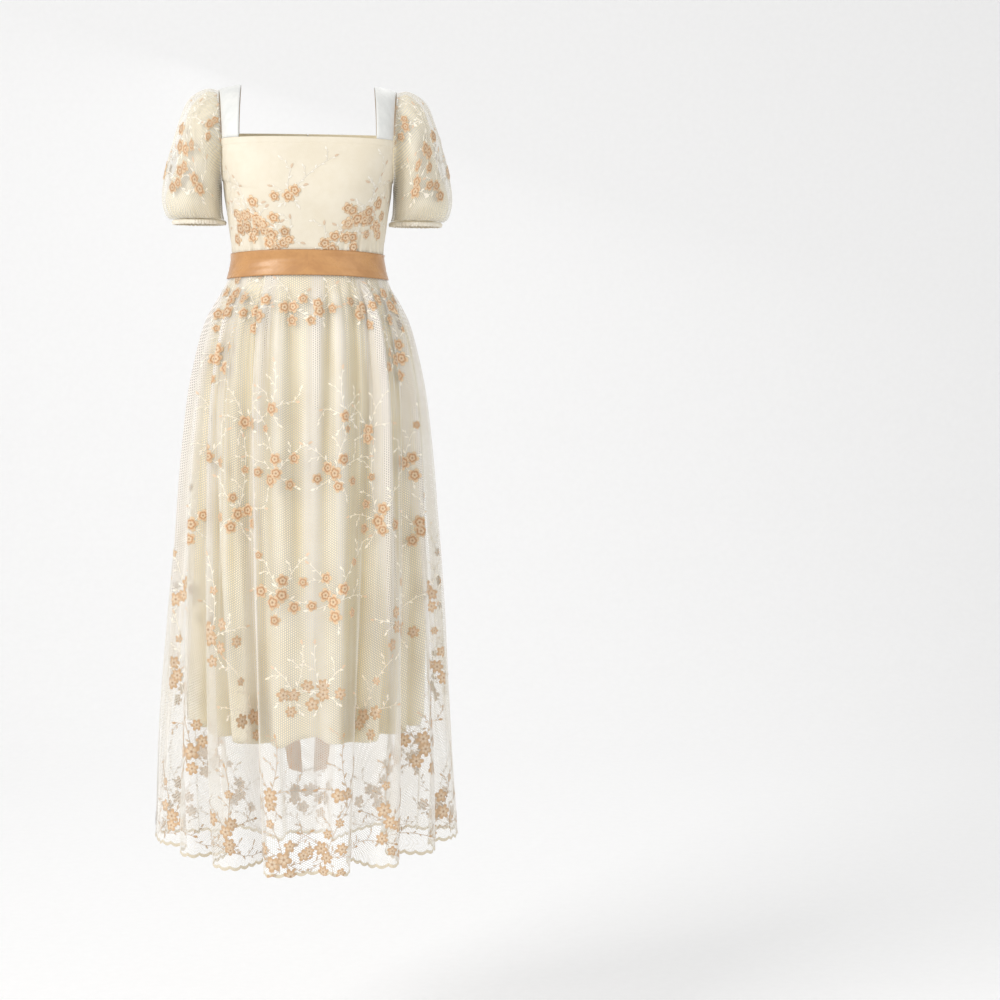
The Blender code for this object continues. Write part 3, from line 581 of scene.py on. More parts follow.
def make_net(name, paint, shade, hole, thread, pitch, hemmed):
    """Sheer net: close threads and nearly clear holes, which covers more where it is seen aslant.

    Skirt net is denser and paler where its ridge value says it lies doubled, with a corded band at its hem.
    """
    made, tree, feed = new_material(name, Roughness=0.85, Sheen_Weight=0.25, Sheen_Roughness=0.5)
    where = cloth_coordinates(tree)
    threads = use_group(tree, "net", Vector=where, Pitch=pitch)
    patch = use_group(tree, "cloud", Vector=where, Scale=14.0)
    body = blended(tree, patch, (*paint, 1), (*shade, 1))
    alpha = graded(tree, threads, 0.0, 1.0, hole, thread)
    slant = add(tree, "ShaderNodeLayerWeight", {"Blend": 0.5}).outputs["Facing"]
    alpha = maths(tree, "ADD", alpha, graded(tree, slant, 0.45, 1.0, 0.0, ASLANT_COVER))
    height = threads
    if hemmed:
        edge = add(tree, "ShaderNodeAttribute", attribute_name="edge").outputs["Fac"]
        ridge = add(tree, "ShaderNodeAttribute", attribute_name="ridge").outputs["Fac"]
        doubled = graded(tree, ridge, 0.0, 1.0, 0.0, 1.0)
        alpha = maths(tree, "MULTIPLY_ADD", doubled, DOUBLED_COVER, alpha)
        body = blended(tree, doubled, body, (*colour(238, 233, 228), 1))
        band = graded(tree, edge, *HEM_CORD, 1.0, 0.0)
        parts = add(tree, "ShaderNodeSeparateXYZ", {0: where})
        stitches = maths(tree, "SINE", maths(tree, "MULTIPLY", parts.outputs["X"], 2 * math.pi / HEM_STITCH))
        stitches = maths(tree, "MULTIPLY_ADD", stitches, 0.5, 0.5)
        # painted light and shade: each stitch of the cord lighter on its top and darker between
        lit = blended(tree, stitches, (*colour(206, 190, 160), 1), (*colour(236, 226, 206), 1))
        body = blended(tree, band, body, lit)
        alpha = maths(tree, "MAXIMUM", alpha, maths(tree, "MULTIPLY", band, HEM_CORD_COVER))
        height = maths(tree, "MULTIPLY_ADD", maths(tree, "MULTIPLY", band, stitches), 1.5, height)
    feed("Base Color", body)
    feed("Alpha", alpha)
    feed("Normal", bumped(tree, height, 0.35, 0.0003))
    return made


def make_cloth(name, paint, shade, warp, weft, roughness, sheen, bump, net_pitch=0.0, cloud=16.0, hollow_shade_paint=None):
    """Opaque cloth: soft patches of two tones over its woven threads, with net over it where it has a pitch.

    A painted shade in a given darker tone shows where the piece's own edge value says that the cloth lies in
    a hollow.
    """
    made, tree, feed = new_material(name, Sheen_Weight=sheen, Sheen_Roughness=0.4)
    where = cloth_coordinates(tree)
    patch = use_group(tree, "cloud", Vector=where, Scale=cloud)
    height = use_group(tree, "weave", Vector=where, Warp_Pitch=warp, Weft_Pitch=weft)
    body = blended(tree, patch, (*paint, 1), (*shade, 1))
    # painted shade: the given darker tone where the cloth lies in a hollow
    if hollow_shade_paint:
        hollow = add(tree, "ShaderNodeAttribute", attribute_name="edge").outputs["Fac"]
        body = blended(tree, graded(tree, hollow, -0.2, 1.0, 0.0, 0.8), body, (*hollow_shade_paint, 1))
    if net_pitch:
        threads = use_group(tree, "net", Vector=where, Pitch=net_pitch)
        veil = maths(tree, "MULTIPLY", threads, 0.45)
        body = blended(tree, veil, body, (*colour(242, 236, 224), 1))
        height = maths(tree, "MULTIPLY_ADD", threads, 1.4, height)
    feed("Base Color", body)
    feed("Roughness", graded(tree, patch, 0.0, 1.0, roughness - 0.05, roughness + 0.07))
    feed("Normal", bumped(tree, height, bump, 0.0002))
    return made


def make_satin(name, paint, shade, roughness):
    """Satin: fine threads across the ribbon, tone that varies along them, and darker woven edges."""
    made, tree, feed = new_material(name, Sheen_Weight=0.3, Sheen_Roughness=0.3, Anisotropic=0.35)
    where = cloth_coordinates(tree)
    patch = use_group(tree, "cloud", Vector=where, Scale=30.0)
    height = use_group(tree, "weave", Vector=where, Warp_Pitch=0.0005, Weft_Pitch=0.0022, Weft_Share=0.25)
    rim = add(tree, "ShaderNodeAttribute", attribute_name="edge").outputs["Fac"]
    selvedge = graded(tree, rim, 0.0010, 0.0018, 0.55, 0.0)
    dark = maths(tree, "MAXIMUM", maths(tree, "MULTIPLY", patch, 0.45), selvedge)
    feed("Base Color", blended(tree, dark, (*paint, 1), (*shade, 1)))
    feed("Roughness", graded(tree, patch, 0.0, 1.0, roughness, roughness + 0.12))
    feed("Normal", bumped(tree, height, 0.22, 0.0002))
    return made


def make_thread(name, petals):
    """Embroidery thread: the piece's own thread colour, lit and shaded along its satin stitches.

    The stitch map's first number counts petals or stitches along the motif, its second runs 0 to 1 outwards.
    """
    made, tree, feed = new_material(name, Roughness=0.48, Sheen_Weight=0.5, Sheen_Roughness=0.35)
    paint = add(tree, "ShaderNodeAttribute", attribute_name="thread").outputs["Color"]
    where = add(tree, "ShaderNodeUVMap", uv_map="stitch").outputs[0]
    parts = add(tree, "ShaderNodeSeparateXYZ", {0: where})
    count = maths(tree, "MULTIPLY", parts.outputs["X"], 2 * math.pi * (7.0 if petals else 1.0))
    stitches = maths(tree, "MULTIPLY_ADD", maths(tree, "SINE", count), 0.5, 0.5)
    shade = blended(tree, 0.62, paint, (*colour(120, 70, 38), 1))
    if petals:
        # painted shade in the creases between petals and at the edges of the rings
        part = maths(tree, "FRACT", parts.outputs["X"])
        crease = maths(tree, "ABSOLUTE", maths(tree, "SUBTRACT", part, 0.5))
        crease = graded(tree, crease, 0.36, 0.5)
        rings = maths(tree, "FRACT", maths(tree, "MULTIPLY", parts.outputs["Y"], 2.6))
        crease = maths(tree, "MAXIMUM", crease, graded(tree, rings, 0.78, 1.0, 0.0, 0.75))
        dark = maths(tree, "MULTIPLY_ADD", stitches, 0.14, maths(tree, "MULTIPLY", crease, 0.55))
    else:
        dark = maths(tree, "MULTIPLY", stitches, 0.18)
    feed("Base Color", blended(tree, dark, paint, shade))
    feed("Normal", bumped(tree, stitches, 0.4, 0.0002))
    return made


def make_plain(name, paint, roughness, metallic, scuffed):
    """Hard trim: a plain finish with fine scuffs lighter than the rest, read from the place in the object."""
    made, tree, feed = new_material(name, Metallic=metallic)
    where = add(tree, "ShaderNodeTexCoord").outputs["Object"]
    patch = use_group(tree, "cloud", Vector=where, Scale=220.0)
    feed("Base Color", blended(tree, patch, (*paint, 1), (*scuffed, 1)))
    feed("Roughness", graded(tree, patch, 0.0, 1.0, roughness - 0.06, roughness + 0.16))
    feed("Normal", bumped(tree, patch, 0.12, 0.0001))
    return made


NET = make_net("embroidered_net", colour(250, 247, 240), colour(240, 234, 222), 0.03, 0.50, 0.0032, True)
SLEEVE_NET = make_net("sleeve_net", colour(250, 248, 242), colour(240, 236, 226), 0.05, 0.52, 0.0030, False)
LINED_NET = make_cloth(
    "lined_net", colour(232, 222, 200), colour(224, 212, 186), 0.0005, 0.0006, 0.72, 0.3, 0.3, 0.0017
)
# the lining's third tone is a painted shade, a darker yellow for the hollows of its folds
CREAM = make_cloth(
    "cream_lining", colour(240, 231, 206), colour(234, 222, 192), 0.0005, 0.0007, 0.55, 0.35, 0.2,
    hollow_shade_paint=colour(208, 189, 128),
)
CUFF_NET = make_cloth(
    "cuff_net", colour(242, 236, 222), colour(224, 212, 188), 0.0006, 0.0008, 0.75, 0.3, 0.35, 0.0015, 60.0
)
WHITE_SATIN = make_satin("white_satin", colour(232, 232, 228), colour(208, 211, 209), 0.34)
# painted shade: the straps' inner walls are tan for the shade that falls behind them
STRAP_INSIDE_SHADE = make_cloth(
    "strap_inside_painted_shade", colour(206, 184, 156), colour(178, 150, 120), 0.0005, 0.0007, 0.7, 0.1, 0.2
)
CARAMEL = make_satin("caramel_satin", colour(204, 153, 99), colour(164, 112, 66), 0.27)
FLOWER_THREAD = make_thread("flower_thread", True)
TWIG_THREAD = make_thread("twig_thread", False)
TAPE = make_cloth("zip_tape", colour(230, 224, 208), colour(214, 206, 186), 0.0007, 0.0011, 0.8, 0.1, 0.5)
DARK_METAL = make_plain("dark_metal", colour(72, 66, 60), 0.34, 1.0, colour(128, 118, 104))
PULL_ENAMEL = make_plain("white_pull", colour(236, 236, 232), 0.38, 0.0, colour(222, 220, 214))

# --- Meshes from grids ---


def run_of(grid, axis):
    """Length from the first row or column to each point, summed step by step."""
    steps = np.linalg.norm(np.diff(grid, axis=axis), axis=2)
    zero = np.zeros_like(steps[:1] if axis == 0 else steps[:, :1])
    return np.concatenate([zero, np.cumsum(steps, axis=axis)], axis=axis)


def finish_mesh(name, points, faces, uv_name, uv, attributes, material):
    """A mesh object from arrays: points, four-sided faces, a UV pair a corner and values for each point."""
    mesh = bpy.data.meshes.new(name)
    mesh.from_pydata(points.tolist(), [], faces.tolist())
    layer = mesh.uv_layers.new(name=uv_name)
    layer.data.foreach_set("uv", uv.astype(np.float32).ravel())
    for key, values in attributes.items():
        kind = "FLOAT" if values.ndim == 1 else "FLOAT_COLOR"
        made = mesh.attributes.new(key, kind, "POINT")
        made.data.foreach_set("value" if values.ndim == 1 else "color", values.astype(np.float32).ravel())
    mesh.shade_smooth()
    made = bpy.data.objects.new(name, mesh)
    mesh.materials.append(material)
    bpy.context.scene.collection.objects.link(made)
    return made


def quads(rows, columns, closed):
    """Corner numbers of a grid's faces, and the row and unwrapped column of each corner."""
    row, column = np.mgrid[0 : rows - 1, 0 : columns if closed else columns - 1]
    corners = np.array([[0, 0], [1, 0], [1, 1], [0, 1]])
    row = row.reshape(-1, 1) + corners[:, 0]
    column = column.reshape(-1, 1) + corners[:, 1]
    return row * columns + column % columns, row, column


def cloth(
    name, grid, material, closed=False, wall=0.0, edge=None, ridge=None, inner=None, replaces=()
):
    """A cloth piece from its grid: cloth UVs in metres along and down it, and a wall if it has one.

    The edge is each point's distance from an edge that the material draws, or on the lining the depth of the
    hollow it lies in, painted as shade. The ridge is how doubled the net lies, and inner is the wall's inside
    material.
    """
    rows, columns = grid.shape[:2]
    faces, row, column = quads(rows, columns, closed)
    around_it = np.concatenate([grid, grid[:, :1]], axis=1) if closed else grid
    along = run_of(around_it, 1)
    along = along - along[:, along.shape[1] // 2][:, None]
    down = run_of(around_it, 0)
    uv = np.stack([along[row, column], -down[row, column]], axis=-1)
    given = {key: value for key, value in {"edge": edge, "ridge": ridge}.items() if value is not None}
    values = {key: np.broadcast_to(value, (rows, columns)).ravel() for key, value in given.items()}
    made = finish_mesh(name + "_cloth", grid.reshape(-1, 3), faces, "cloth", uv, values, material)
    if wall:
        thick = made.modifiers.new("cloth_wall", "SOLIDIFY")
        thick.thickness = wall
        thick.offset = -1.0
        thick.use_even_offset = False
        if inner:
            made.data.materials.append(inner)
            thick.material_offset = 1
    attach(made, "gown")
    if replaces:
        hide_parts(*replaces)
    return made


# --- Skirts ---


def skirt_creases(angle, fall, seed):
    """Soft folds: humps across that rise and die down their run; and round gathers under the sash.

    A gather is the size of an uneven wave to a power less its middle, so troughs are narrow and ridges round.
    """
    total = np.zeros(np.broadcast(angle, fall).shape)
    for crease in SKIRT_CREASES:
        middle = crease.place + crease.lean * 6.0 * (fall - crease.start)
        run = step(fall, crease.start, crease.start + 0.10) * (1 - step(fall, crease.end - 0.35, crease.end))
        total += crease.depth * run * hump(around(angle, middle), 0, crease.width)
    wide = spread(angle, 0.0)
    broad = np.abs(uneven(wide, 19.0, seed)) ** 0.75 - 0.45
    fine = np.abs(uneven(wide, 9.0, seed + 1)) ** 0.75 - 0.45
    begun = step(fall, 0.022, 0.060)
    gather = 0.0076 * broad * begun * (1 - step(fall, 0.20, 0.80))
    gather += 0.0034 * fine * begun * (1 - step(fall, 0.08, 0.34))
    drift = angle + 2.2 * np.sin(fall * 7 + angle / 30)
    gather += uneven(drift, 8.5, seed + 2) * 0.0016 * step(fall, 0.15, 0.6)
    total = total * 1.25 + np.where(gather > 0, gather * 0.7, gather)
    behind = around(angle, 180.0)
    kept = hump(behind, 0, 30.0) * (1 - step(fall, 0.10, 0.18))
    kept = np.maximum(kept, hump(behind, 0, 15.0) * 0.8)
    return np.where(total > 0, total * (1 - 0.85 * kept), total)


def doubled_net(angle, fall, seed):
    """Where the gathered net lies doubled: on the folds, and in long uneven streaks; from 0 to 1."""
    stood = (fold_depth(angle, fall) + skirt_creases(angle, fall, seed)) / (0.005 + 0.020 * fall)
    place = spread(angle, fall * 0.6) + 3.0 * np.sin(fall * 4 + angle / 25)
    streak = step(uneven(place, 24.0, seed + 9), 0.05, 0.75)
    thin = step(uneven(place, 7.0, seed + 12), 0.3, 1.2)
    return np.clip(0.55 * np.clip(stood, 0, 1) + 0.65 * streak + 0.35 * thin, 0, 1) * (1 - 0.45 * fall)


SCALLOP = 0.0185
SCALLOP_DEPTH = 0.0042


def scalloped(grid):
    """The hem cut in scallops: it rises by the depth times 1 less a power of a sine's size along it."""
    along = run_of(grid, 1)[-1]
    count = round(along[-1] / SCALLOP)
    wave = 1 - np.abs(np.sin(np.pi * count * along / along[-1])) ** 0.7
    down = run_of(grid, 0)
    near = step(down[-1] - down, 0.030, 0.0)
    grid = grid.copy()
    grid[..., 2] += SCALLOP_DEPTH * wave * near
    return grid


def build_skirts():
    """Overskirt and underskirt, front and back halves; their grids by name, with their angles and falls."""
    gap = math.degrees(SEAM_GAP / SKIRT_LEVELS[0].half_width)
    falls = np.concatenate(
        [np.linspace(0, 0.1, 16)[:-1], np.linspace(0.1, 0.97, 76)[:-1], np.linspace(0.97, 1, 13)]
    )
    under_falls = np.concatenate([np.linspace(0, 0.1, 10)[:-1], np.linspace(0.1, 1, 52)])
    made = {}
    for side, first, last, seed in (("front", -90 + gap, 90 - gap, 3), ("back", 90 + gap, 270 - gap, 11)):
        angles = skirt_angles(first, last, 580)[None]
        fall = falls[:, None]
        grid = scalloped(overskirt(angles, fall, skirt_creases(angles, fall, seed)))
        down = run_of(grid, 0)
        ridge = doubled_net(angles, fall, seed)
        over = cloth(
            "skirt_" + side, grid, NET, edge=down[-1] - down, ridge=ridge,
            replaces=["skirt_" + side],
        )
        made["skirt_" + side] = (over, grid, angles[0], falls)
        angles = skirt_angles(first, last, 300)[None]
        fall = under_falls[:, None]
        soft = skirt_creases(angles, fall * 0.79, seed) * 0.85
        soft = soft + uneven(angles, 9.0, seed + 5) * 0.0012 * step(fall, 0.1, 0.3)
        grid = underskirt(angles, fall, soft)
        grid[..., 2] += uneven(angles, 14.0, seed + 7) * 0.0020 * step(fall, 0.9, 1.0)
        grid[..., 2] += UNDER_HEM_NOTCH * hump(around(angles, 1.5), 0, 9.0) * step(fall, 0.86, 1.0)
        name = "underskirt_" + side
        # how far into a fold's hollow the lining lies; its material paints shade there
        hollow = -(fold_depth(angles, fall * 0.79) * UNDERSKIRT_FOLD_SHARE + soft) / 0.009
        under = cloth(name, grid, CREAM, wall=0.0006, edge=hollow, replaces=[name])
        made[name] = (under, grid, angles[0], under_falls)
    return made


# --- Bodice and straps ---


def bodice_creases(across, up, back):
    """Neck band, lines under it and tucks fanning up from the sash; across is signed, 0 at the centre."""
    side = np.abs(across)
    below_neck = (1 - up) * 0.19
    band = 0.0007 * (1 - step(below_neck, 0.0082, 0.0096)) - 0.0005 * hump(below_neck, 0.0105, 0.0012)
    drawn = np.zeros(np.broadcast(across, up).shape)
    for depth, place, tilt in ((0.0005, 0.016, 0.004), (0.0006, 0.022, -0.005), (0.0004, 0.029, 0.006)):
        strength = 0.6 + 0.4 * np.sin(across * 9 + place * 900)
        drawn -= depth * strength * hump(below_neck + tilt * across**2, place, 0.0019)
    tucks = np.zeros_like(drawn)
    if back:
        rows = (
            (0.30, 0.040, 0.34), (0.38, 0.090, 0.46), (0.47, 0.020, 0.38), (0.57, -0.05, 0.50),
            (0.68, -0.09, 0.36),
        )
    else:
        rows = (
            (0.24, 0.10, 0.30), (0.31, 0.07, 0.42), (0.37, 0.03, 0.52), (0.43, 0.00, 0.46),
            (0.50, -0.03, 0.56), (0.56, -0.06, 0.44), (0.63, -0.09, 0.50), (0.71, -0.12, 0.36),
        )
    for place, lean, reach in rows:
        wobble = 0.03 * np.sign(across) * np.sin(place * 40)
        middle = place + wobble + lean * up / 0.5
        fade = (1 - step(up, reach * 0.35, reach)) * step(up, 0.0, 0.06)
        tucks -= 0.0013 * fade * hump(side, middle, 0.016)
        tucks += 0.0009 * fade * hump(side, middle + 0.034, 0.018)
    drawn_sides = uneven(up * 3 + side * 4, 0.55, 21) * 0.0005 * step(side, 0.45, 0.8)
    full = 0.0
    if not back:
        full = 0.0035 * hump(side, 0.42, 0.20) * hump(up, 0.52, 0.24)
        full = full - 0.0022 * hump(side, 0.0, 0.13) * hump(up, 0.5, 0.3)
    return band + drawn + tucks + drawn_sides + full


def build_bodice():
    """Front in one, backs in two with a folded edge each side of the zip; their grids by name."""
    climb = np.concatenate([np.linspace(1, 0.93, 14)[:-1], np.linspace(0.93, 0, 62)])[:, None]
    seam = SEAM_GAP / 2 / BODICE_QUARTER
    across = np.linspace(0, 1, 84)[None]
    half = bodice_half(across * (1 - seam), climb, False)
    whole = np.concatenate([mirrored(half)[:, :-1], half], axis=1)
    signed = np.concatenate([-across[:, ::-1][:, :-1], across], axis=1)
    grid = pushed(whole, bodice_creases(signed, climb, False))
    made = {}
    piece = cloth(
        "bodice_front", grid, LINED_NET, wall=0.0009, inner=CREAM,
        replaces=["bodice_front"],
    )
    made["bodice_front"] = (piece, grid, signed[0], climb[:, 0])
    start = (2 / math.pi) * math.asin((ZIP_SLIT / 2 / BODICE_QUARTER) ** (BODICE_BACK_SQUARE / 2))
    across = start + (1 - seam - start) * np.linspace(0, 1, 84)[None] ** 1.25
    half = bodice_half(across, climb, True)
    half[:, 0, 0] = ZIP_SLIT / 2
    for side, seed in (("left", 1), ("right", -1)):
        grid = half[:, ::-1] if seed > 0 else mirrored(half[:, ::-1])
        places = across[:, ::-1] if seed > 0 else across
        out = bodice_creases(places * seed, climb, True)
        from_zip = np.abs(grid[..., 0])
        out = out + 0.0004 * (1 - step(from_zip, 0.005, 0.0062)) - 0.0004 * hump(from_zip, 0.0068, 0.0008)
        grid = pushed(grid, out * step(from_zip, 0.0, 0.002))
        name = "bodice_back_" + side
        piece = cloth(name, grid, LINED_NET, wall=0.0009, inner=CREAM, replaces=[name])
        made[name] = (piece, grid, places[0], climb[:, 0])
    return made


def strap_grid():
    """The left strap: base rows on the two necklines, arched over the shoulder by a power of a sine."""
    along = np.linspace(0, 1, 90)[:, None]
    wide = np.linspace(0, 1, 22)[None]
    fine = np.linspace(0, 1, 401)
    ends = []
    for back in (False, True):
        row = bodice_half(fine, np.float64(1.0), back)
        first = np.interp(STRAP_INNER_X + (STRAP_BACK_SHIFT if back else 0.0), row[:, 0], fine)
        ends.append(bodice_half(first + (1 - first) * wide[0], np.float64(1.0), back))
    front, rear = ends
    half = np.pi * along
    base = front[None] + (rear - front)[None] * ((1 - np.cos(half)) / 2)[..., None]
    z = base[..., 2] + (-STRAP_OUTER_DROP * wide - base[..., 2]) * np.sin(half) ** 0.92 + SEAM_GAP
    x = base[..., 0] - STRAP_LEAN_IN * np.sin(half) ** 2 * (1 - wide)
    grid = np.stack([x, base[..., 1], z], axis=-1)
    turn = -neck_turn(FRONT_NECK) + (neck_turn(FRONT_NECK) + neck_turn(BACK_NECK)) * along[:, 0]
    seam = armhole(turn) + np.array([0, 0, SEAM_GAP])
    grid = grid + (seam - grid[:, -1])[:, None] * (wide**2)[..., None]
    folded = 0.0004 * (1 - np.abs(2 * wide - 1) ** 8) + 0.0005 * hump(wide, 0.07, 0.05)
    slanting = np.zeros((90, 22))
    for place, lean, depth in (
        (0.08, 0.16, 0.0007), (0.17, 0.22, 0.0009), (0.29, 0.18, 0.0006), (0.41, 0.25, 0.0008),
        (0.55, -0.15, 0.0006), (0.68, -0.2, 0.0009), (0.80, -0.16, 0.0007), (0.91, -0.12, 0.0008),
    ):
        slanting -= depth * hump(along + lean * (wide - 0.5), place, 0.022) * hump(wide, 0.45, 0.38)
    return pushed(grid.transpose(1, 0, 2), (folded + slanting).T)


def build_straps():
    """Two satin straps, their inner walls painted tan as the shade behind them."""
    left = strap_grid()
    wide = np.linalg.norm(np.diff(left, axis=0), axis=2).cumsum(axis=0).mean(axis=1)
    run = np.concatenate([[0.0], wide])
    edge = np.minimum(run, run[-1] - run)[:, None]
    for side, grid in (("left", left), ("right", mirrored(left))):
        name = "strap_" + side
        piece = cloth(
            name, grid, WHITE_SATIN, wall=0.0009, edge=edge, inner=STRAP_INSIDE_SHADE, replaces=[name]
        )


# --- Sleeves ---


def sleeve_grid(turns, inset_share):
    """The left sleeve's rings: the armhole, then an ellipse for each row of the table, outer side first."""
    seam = armhole(turns) + np.array([TULLE + SEAM_GAP, 0, 0])
    inside = (ARMHOLE - seam) * np.array([0, LINING_HEAD_INSET, LINING_HEAD_INSET])
    rings = [seam + (inside + np.array([TULLE * 2, 0, 0])) * inset_share]
    for ring in SLEEVE_RINGS:
        outer = np.array([ring.outer_x, ring.outer_z])
        inner = np.array([ring.inner_x, ring.inner_z])
        side = (outer - inner) / np.linalg.norm(outer - inner)
        outer = outer - side * ring.lining_inset * inset_share
        inner = inner + np.array([1.0, 0.5]) * LINING_INNER_INSET * inset_share
        depth = ring.half_depth - ring.lining_inset * LINING_DEPTH_SHARE * inset_share
        centre = (outer + inner) / 2
        reach = np.linalg.norm(outer - inner) / 2 * np.cos(np.radians(turns))
        y = ARMHOLE[1] + depth * np.sin(np.radians(turns))
        rings.append(np.stack([centre[0] + side[0] * reach, y, centre[1] + side[1] * reach], axis=-1))
    return np.stack(rings)


def sleeve_creases(turns, places, seed, strength):
    """Gathers at the head and the cuff that die away from each, and a few long soft folds between."""
    turn, place = turns[None], places[:, None]
    head = uneven_ring(turn, 34, seed) * np.exp(-((place / 2.1) ** 2)) * step(place, 0.0, 0.5)
    foot = uneven_ring(turn, 38, seed + 1) * np.exp(-(((8 - place) / 1.7) ** 2)) * step(8 - place, 0.0, 0.35)
    long = np.zeros_like(head)
    for middle, width, depth, lean in (
        (-62, 7, -0.9, 8), (-38, 6, 0.8, 5), (-20, 5, -1.0, -4), (2, 7, -0.7, 5), (24, 6, -1.1, -6),
        (47, 6, 0.8, 4), (70, 7, -1.0, -5), (105, 9, -0.7, 0), (-100, 9, -0.8, 3),
        (150, 9, -0.5, 0), (-145, 9, -0.5, 0),
    ):
        long += depth * hump(around(turn, middle + lean * (place - 4) / 4), 0, width) * hump(place, 4.0, 3.0)
    outer = 0.35 + 0.65 * (0.5 + 0.5 * np.cos(np.radians(turn)))
    return (head * 0.0022 + foot * 0.0030 + long * 0.0019) * outer * strength


def cuff_grid(turns, places):
    """The elastic casing: a low ring that swells between its edges, puckered by a sine round it."""
    turn, fall = turns[None], places[:, None]
    pucker = uneven_ring(turn, 52, 71)
    swell = 0.0020 * np.sin(np.pi * fall) + 0.0010 * pucker * (0.35 + 0.65 * np.sin(np.pi * fall))
    swell += 0.0008 * step(fall, 0.7, 1.0) * (1 + pucker)
    x = CUFF_CENTRE_X + (CUFF_HALF_WIDTH + swell) * np.cos(np.radians(turn))
    y = ARMHOLE[1] + (CUFF_HALF_DEPTH + swell) * np.sin(np.radians(turn))
    z = CUFF_TOP - CUFF_HEIGHT * fall + uneven_ring(turn, 46, 73) * 0.0007 * step(fall, 0.5, 1.0)
    return np.stack(np.broadcast_arrays(x, y, z), axis=-1)


def build_sleeves():
    """Puffs, linings and casings; the puffs' grids by name."""
    turns = np.arange(0, 360, 1.5)
    places = np.linspace(0, 8, 58)
    puff = smooth_rows(sleeve_grid(turns, 0.0), places)
    puff = pushed(puff, sleeve_creases(turns, places, 31, 1.0), closed=True)
    lining = smooth_rows(sleeve_grid(turns, 1.0), places)
    lining = pushed(lining, sleeve_creases(turns, places, 41, 0.55) - 0.0006, closed=True)
    casing = cuff_grid(np.arange(0, 360, 1.0), np.linspace(0, 1, 11))
    made = {}
    for side in ("left", "right"):
        for name, grid, material, wall, slot in (
            ("sleeve_", puff, SLEEVE_NET, 0.0, "tulle"),
            ("sleeve_lining_", lining, CREAM, 0.0006, "cream_lining"),
            ("cuff_", casing, CUFF_NET, 0.0008, "tulle"),
        ):
            node = name + side
            laid = grid if side == "left" else mirrored(grid)
            piece = cloth(node, laid, material, closed=True, wall=wall, replaces=[node])
            made[node] = (piece, laid, turns if side == "left" else -turns[::-1], places)
    return made


# --- Sash and bow ---


def build_sash():
    """The ribbon round the waist, just off bodice and skirt, with long level creases and a pinch behind."""
    angles = np.arange(0, 360, 1.0)
    near_knot = hump(angles, 180.0, 9.0)
    half = (RIBBON + (SASH_AT_KNOT - RIBBON) * near_knot) / 2
    ups = np.linspace(1, -1, 21)
    rows = []
    for up in ups:
        z = waist_height(angles) + half * up
        above, above_y, out_x, out_y = section(BODICE_LEVELS, angles, z)
        below, below_y, _, _ = section(SKIRT_LEVELS, angles, z)
        reach = np.maximum(above * out_x + above_y * out_y, below * out_x + below_y * out_y)
        lift = reach - (above * out_x + above_y * out_y) + SASH_GAP + SATIN
        rows.append(np.stack([above + out_x * lift, above_y + out_y * lift, z], axis=-1))
    up = ups[:, None]
    creases = np.zeros((len(ups), len(angles)))
    for middle, start, width, drift, depth in (
        (0.45, 0, 70, 0.25, 0.9), (-0.30, 20, 60, -0.3, 0.8), (0.05, -40, 55, 0.35, 0.7),
        (-0.62, -60, 50, 0.2, 0.6), (0.62, 100, 45, -0.4, 0.8), (-0.1, 120, 50, 0.3, 0.9),
        (0.3, 235, 50, -0.4, 0.9), (-0.45, 260, 55, 0.35, 0.7),
    ):
        away = around(angles[None], start)
        creases -= depth * hump(away, 0, width) * hump(up, middle + drift * away / width, 0.13)
    pinch = np.sin(up * 3 * np.pi + 0.6) * hump(angles[None], 180.0, 26.0)
    rolled = 0.35 * (1 - np.abs(up) ** 6)
    grid = pushed(np.stack(rows), (creases * 0.0008 + pinch * 0.0009 + rolled * 0.001), closed=True)
    edge = (1 - np.abs(up)) * half
    piece = cloth(
        "sash_band", grid, CARAMEL, closed=True, wall=0.0007, edge=edge,
        replaces=["sash_band"],
    )
    return piece


def back_reach(z, low_x, high_x):
    """The furthest-back point of the overskirt at height z between two places across."""
    angles = np.linspace(120, 240, 481)
    fall = (waist_height(180.0) - z) / (waist_height(180.0) - BACK_HEM)
    row = overskirt(angles, fall)
    inside = (row[:, 0] > low_x) & (row[:, 0] < high_x)
    return row[inside, 1].max()


def knot_centre():
    """The knot sits just off the sash at the centre back."""
    middle = waist_height(180.0)
    back = through(SKIRT_LEVELS, "back", middle - SASH_AT_KNOT / 2) + SASH_GAP + SATIN
    return np.array([0.0, back + KNOT[1] / 2 + 2 * SEAM_GAP, middle])


